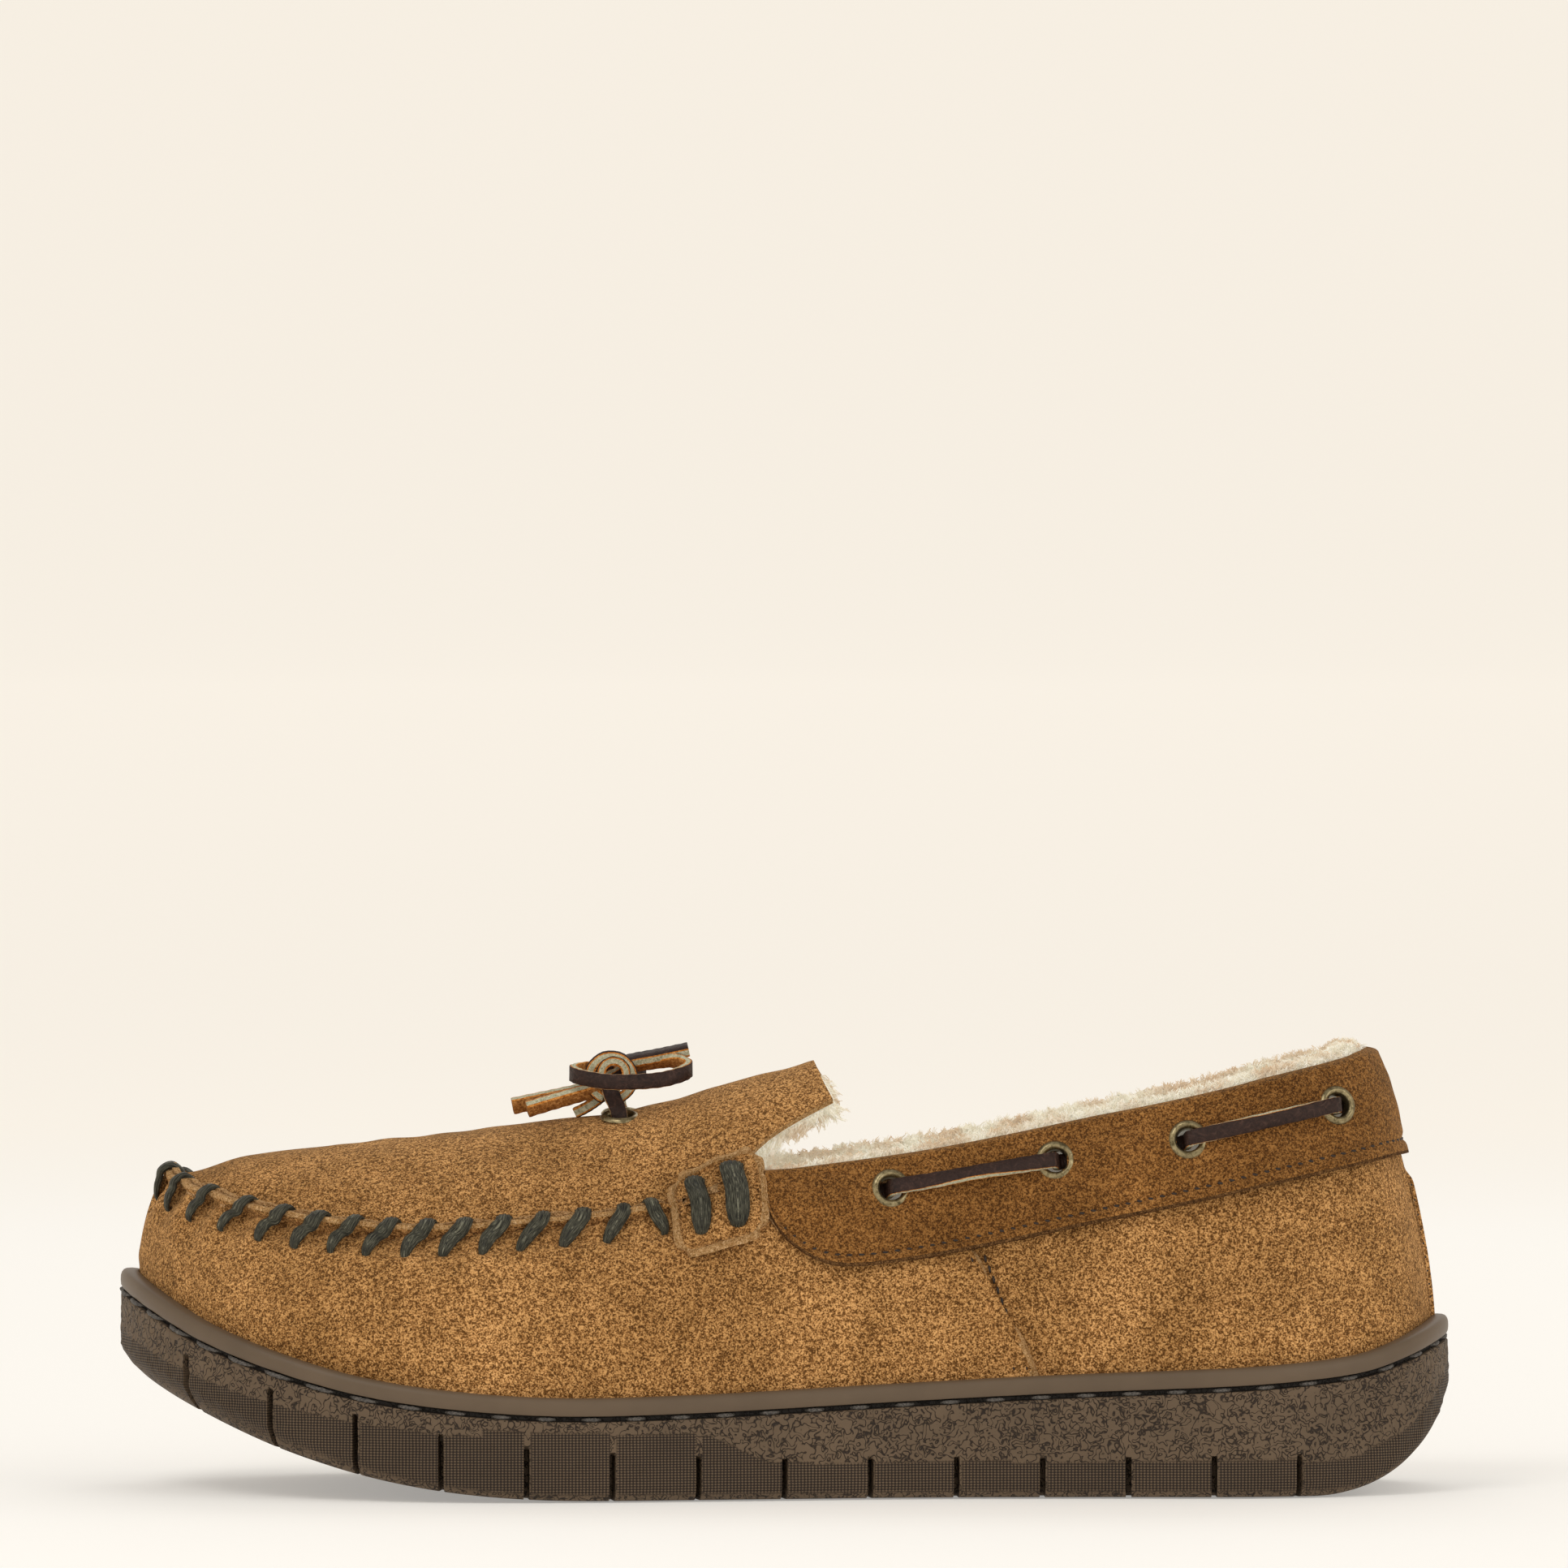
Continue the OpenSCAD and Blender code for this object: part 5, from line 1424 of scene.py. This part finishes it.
def wool(name, body, roots, normals, length, seed, strands=6, spread=1.0, curl=0.55, width=0.34, lean=0.45,
         gravity=0.0, turns=1.1):
    """Locks of curly strands: each root grows a few ribbons that taper towards one tip."""
    g = np.random.default_rng(seed)
    count = len(roots) * strands
    lock = np.repeat(np.arange(len(roots)), strands)
    n = normals[lock]
    aim = unit(normals + lean * g.normal(size=(len(roots), 3)) + [0, 0, -gravity])[lock]
    side = unit(np.cross(n, g.normal(size=(count, 3))))
    start = roots[lock] + side * (spread * np.sqrt(g.uniform(0, 1, (count, 1))))
    reach = (length * g.uniform(0.6, 1.15, len(roots)))[lock, None] * g.uniform(0.8, 1.1, (count, 1))
    u = unit(np.cross(aim, g.normal(size=(count, 3))))
    v = np.cross(aim, u)
    phase = (g.uniform(0, 2 * math.pi, len(roots))[lock] + g.normal(size=count) * 0.5)[:, None]
    steps = 6
    f = np.linspace(0, 1, steps)
    path = np.empty((count, steps, 3))
    for i, x in enumerate(f):
        swirl = phase + turns * 2 * math.pi * x
        path[:, i] = (start - side * spread * 0.55 * x + mix(n, aim, min(1, x * 1.6)) * reach * x
                      + (u * np.cos(swirl) + v * np.sin(swirl) - u * np.cos(phase) - v * np.sin(phase))
                      * curl * x**0.6)
    tangent = unit(np.gradient(path, axis=1))
    across = unit(np.cross(tangent, g.normal(size=(count, 1, 3))))
    w = (width / 2 * (1 - 0.7 * f**2))[None, :, None]
    points = np.stack([path - across * w, path + across * w], 2)
    base = (np.arange(count) * steps * 2)[:, None]
    i = np.arange(steps - 1)[None] * 2
    faces = np.stack([base + i, base + i + 1, base + i + 3, base + i + 2], -1).reshape(-1, 4)
    ob = new_object(name, points.reshape(-1, 3), faces, [WOOL_LOCKS])
    set_value(ob, "tip", np.broadcast_to(f[None, :, None], (count, steps, 2)).reshape(-1))
    return finish_piece(ob, body, "pile")


def wall_roots(s, t, off):
    p = skin(s, t, off)
    return p, unit(skin(s, t, np.asarray(off) + 1.0) - p)


def around(f):
    """Stations of the mouth for f from 0 to 1, from the outer front corner round the heel to the inner one."""
    s = 5.08 + f * (2 * HEEL - 2 * 5.08)
    return np.where(s > HEEL, s - 2 * HEEL, s)


def make_linings():
    f = np.linspace(0, 1, 420)
    s = around(f)
    sections = []
    low, high = LINING_OFF, LINING_OFF + PILE
    ts = np.linspace(0, 1, 14)
    sections += [skin(s, margin_foot(s, BOARD_H), low)] + [skin(s, np.full_like(s, t), low) for t in ts]
    sections += [beyond(s, low + 0.4, 1.4), beyond(s, low + 1.6, 2.3)]
    sections += [beyond(s, high - 1.6, 2.2), beyond(s, high - 0.3, 1.2)]
    sections += [skin(s, np.full_like(s, t), high) for t in ts[::-1]]
    sections += [skin(s, margin_foot(s, BOARD_H), high)]
    grid = np.stack(sections, 1)
    centre = grid.mean(1, keepdims=True)
    grid = grid + unit(grid - centre) * (0.45 * waves(grid, 5.5, 51) + 0.3 * waves(grid, 2.6, 52))[..., None] \
        * (np.arange(grid.shape[1]) > 14)[None, :, None]
    ob = merge_tubes("quarter_pile_lining", [grid], [WOOL])
    finish_piece(ob, "shoe", "pile", "quarter_lining")
    s = np.linspace(-5, 5, 260)
    ts = np.linspace(0, 1, 12)
    sections = [skin(s, margin_foot(s, BOARD_H), low)] + [skin(s, 0.9 * t + 0 * s, low) for t in ts]
    sections += [skin(s, 0.86 * t + 0 * s, high) for t in ts[::-1]] + [skin(s, margin_foot(s, BOARD_H), high)]
    grid = np.stack(sections, 1)
    grid = grid + unit(grid - grid.mean(1, keepdims=True)) * (0.5 * waves(grid, 5, 53))[..., None] \
        * (np.arange(grid.shape[1]) > 12)[None, :, None]
    ob = merge_tubes("vamp_pile_lining", [grid], [WOOL])
    finish_piece(ob, "shoe", "pile", "vamp_lining")
    # Under the apron and the tongue, in one sheet
    w = np.linspace(-0.86, 0.86, 70)
    k = np.linspace(1.0, 4.9, 110)
    kk, ww = np.meshgrid(k, w, indexing="ij")
    ff, tw = np.meshgrid(np.linspace(0.1, 0.97, 34), w, indexing="ij")
    outer = np.concatenate([apron_at(kk, ww, SUEDE + LOFT + 0 * kk), tongue_at(ff, tw, SUEDE + LOFT + 0 * ff)])
    thick = PILE - 0.6 + 0.5 * waves(outer, 5.5, 54)
    deep = np.concatenate([kk * 0, ff])
    thick *= 1 - 0.675 * ease(np.abs(np.concatenate([ww, tw])), 0.74, 0.86)
    thick *= 1 - 0.6 * ease(deep, 0.88, 0.97)
    inner = np.concatenate([
        apron_at(kk, ww, SUEDE + thick[: len(k)]), tongue_at(ff, tw, SUEDE + thick[len(k):]),
    ])
    ob = slab("apron_and_tongue_pile_lining", outer, inner, WOOL)
    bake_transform(ob)
    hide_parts("apron_lining", "tongue_lining")


def pad(name, low, high, crown, node, slot, material, lumps=0.0):
    """Pad that fills the sole's cup between two heights above its floor."""
    x = -148 * np.cos(np.linspace(0.3, math.pi - 0.26, 190))
    w = np.linspace(-1, 1, 60)
    w = np.sign(w) * np.abs(w) ** 0.85
    a = at(stations_at(x, -1), SOCK_IN, 0.0)
    b = at(stations_at(x, 1), SOCK_IN, 0.0)
    p = a[:, None] + (b - a)[:, None] * ((w + 1) / 2)[None, :, None]
    floor = smooth(FLOOR_LINE, x)[:, None]
    rim = 1 - np.abs(w)[None] ** 6
    top, bottom = p.copy(), p.copy()
    top[..., 2] = floor + mix(low + (high - low) * 0.55, high + crown, rim)
    top[..., 2] += lumps * waves(p, 5, 61) + 0.6 * lumps * waves(p, 2.4, 62)
    bottom[..., 2] = floor + low
    ob = slab(name, top, bottom, material)
    return finish_piece(ob, "shoe", slot, node)


def make_wool():
    g = np.random.default_rng(70)
    # Rim above the collar
    n = 5200
    s = around(g.uniform(0, 1, n))
    h = g.uniform(0, 1, n)
    p = beyond(s, LINING_OFF + mix(0.2, PILE - 0.2, h), 1.2 + 0.9 * np.sin(math.pi * h))
    up = unit(beyond(s, LINING_OFF + h * 0, 2.0 + 0 * s) - beyond(s, LINING_OFF + h * 0, 1.0 + 0 * s))
    inwards = unit(beyond(s, 4 + 0 * s, 1.0 + 0 * s) - beyond(s, 3 + 0 * s, 1.0 + 0 * s))
    wool("rim_wool", "shoe", p, unit(up * 0.9 + inwards * mix(-0.35, 0.9, h)[:, None]), 2.9, 71, strands=7)
    # Inner wall
    n = 7000
    s = around(g.uniform(0, 1, n))
    t = g.uniform(0.0, 1, n) ** 0.8
    p, nrm = wall_roots(s, t, LINING_OFF + PILE - 0.5)
    wool("wall_wool", "shoe", p, nrm, 2.8, 72, strands=5, lean=0.6, width=0.4)
    # Footbed
    n = 6500
    x = g.uniform(-60, 132, n)
    w = g.uniform(-1, 1, n)
    a, b = at(stations_at(x, -1), SOCK_IN + 0.5, 0.0), at(stations_at(x, 1), SOCK_IN + 0.5, 0.0)
    p = mix(a, b, ((w + 1) / 2)[:, None])
    p[:, 2] = smooth(FLOOR_LINE, x) + BOARD_H + FOAM_H + SOCK_H - 1.0
    wool("footbed_wool", "shoe", p, np.tile([0, 0, 1.0], (n, 1)), 2.9, 73, strands=5, lean=0.8, width=0.42)
    # Under the tongue and at its free edge
    n = 2600
    f, w = g.uniform(0.05, 1.0, n), g.uniform(-0.97, 0.97, n)
    p = tongue_at(f, w, SUEDE + 1.2 + 0 * f)
    down = unit(tongue_at(f, w, SUEDE + 2.2 + 0 * f) - p)
    back = ease(f, 0.7, 1.0)[:, None] * np.array([0.55, 0, 0])
    wool("tongue_wool", "tongue", p, unit(down + back), 5.2, 74, strands=8, lean=0.4, gravity=0.3, width=0.36)
    # Under the rear of the apron, seen past the tongue
    n = 900
    k, w = g.uniform(3.8, 4.9, n), g.uniform(-0.9, 0.9, n)
    p = apron_at(k, w, SUEDE + PILE - 1.5 + 0 * k)
    down = unit(apron_at(k, w, SUEDE + PILE - 0.5 + 0 * k) - p)
    wool("apron_wool", "shoe", p, down, 3.2, 75, strands=5, lean=0.6, width=0.42)


make_linings()
pad("foam_pad", BOARD_H + AIR, BOARD_H + FOAM_H - 0.2, 0.0, "footbed_foam", "foam",
    fibre_material("foam_cells", (186, 176, 144), (214, 205, 174), (232, 226, 200), 1200))
FOAM_TOP = BOARD_H + FOAM_H
pad("sock_pile_pad", FOAM_TOP + AIR, FOAM_TOP + SOCK_H - 1.2, 1.2, "sock_lining", "pile", WOOL, 0.35)
make_wool()

# ---- Hidden CAD parts that stay --------------------------------------------------------------------

BOARD = fibre_material("board_fibre", (146, 118, 76), (176, 146, 100), (204, 178, 134), 900)
COUNTER = fibre_material("counter_board", (104, 78, 48), (134, 102, 66), (164, 132, 92), 900)
for node, material in (("insole_board", BOARD), ("heel_counter", COUNTER), ("washers", BRASS)):
    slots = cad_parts[node].data.materials
    if len(slots):
        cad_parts[node].material_slots[0].material = material
    else:
        slots.append(material)

# ---- Floor, light and camera -------------------------------------------------------------------------


def paper_material():
    """Pale floor that turns into the slightly darker backdrop beyond 1.3 m, all round the shoe."""
    n = Nodes("studio_paper")
    distance = n.add("ShaderNodeVectorMath", in0=n.coords)
    distance.operation = "LENGTH"
    far = n.scale(distance.outputs["Value"], 1.05, 1.6)
    n.set("Base Color", n.blend(srgb(229, 227, 223), srgb(128, 126, 122), far))
    n.set("Roughness", 0.9)
    n.set("Specular IOR Level", 0.1)
    n.set("Emission Color", n.blend((0.30, 0.295, 0.285), (0.76, 0.71, 0.635), far))
    n.set("Emission Strength", 1.0)
    return n.material


def make_studio():
    """Round floor that curves up into a wall beyond the camera, so that it is seen from every side."""
    angle = np.linspace(0, math.pi / 2, 12)
    wall_r, bend = 6500.0, 600.0
    radius = np.concatenate([[1.0, 400, 1500, 4000], wall_r - bend + bend * np.sin(angle), [wall_r]])
    height = np.concatenate([[0, 0, 0, 0], bend - bend * np.cos(angle), [4500]]) - 0.3
    turn = np.linspace(0, 2 * math.pi, 96, endpoint=False)[:, None]
    grid = np.stack(np.broadcast_arrays(radius * np.cos(turn), radius * np.sin(turn), height), -1)
    faces = grid_faces(*grid.shape[:2], wrap=True)
    ob = new_object("studio_sweep", grid.reshape(-1, 3), faces, [paper_material()])


make_studio()
world = bpy.data.worlds.new("studio")
world.use_nodes = True
world.node_tree.nodes["Background"].inputs["Color"].default_value = (*srgb(250, 246, 240), 1)
world.node_tree.nodes["Background"].inputs["Strength"].default_value = 0.5
bpy.context.scene.world = world
bpy.context.scene.view_settings.view_transform = "Standard"


def area_light(name, place, target, size, power, colour=(1, 1, 1)):
    data = bpy.data.lights.new(name, "AREA")
    data.shape = "RECTANGLE"
    data.size, data.size_y = size
    data.energy = power
    data.color = colour
    ob = bpy.data.objects.new(name, data)
    ob.location = place
    ob.rotation_euler = (Vector(target) - Vector(place)).to_track_quat("-Z", "Y").to_euler()
    bpy.context.scene.collection.objects.link(ob)


area_light("key", (-0.7, -1.1, 1.5), (0, 0, 0.05), (0.8, 0.8), 7.4, (1, 0.985, 0.96))
area_light("fill", (1.2, -1.2, 0.8), (0, 0, 0.05), (1.2, 1.2), 4.0, (0.98, 0.99, 1))
area_light("back", (0.2, 1.2, 1.3), (0, 0, 0.08), (1.2, 0.6), 4.0)

camera_data = bpy.data.cameras.new("camera")
camera_data.lens = 500
camera_data.sensor_width = 36
camera_data.clip_end = 50
camera = bpy.data.objects.new("camera", camera_data)
centre_z = 0.1566
distance = 0.3478 * camera_data.lens / camera_data.sensor_width
tilt = math.radians(2.0)
camera.location = (0, -0.01 - distance * math.cos(tilt), centre_z + distance * math.sin(tilt))
camera.rotation_euler = (math.pi / 2 - tilt, 0, 0)
bpy.context.scene.collection.objects.link(camera)
bpy.context.scene.camera = camera
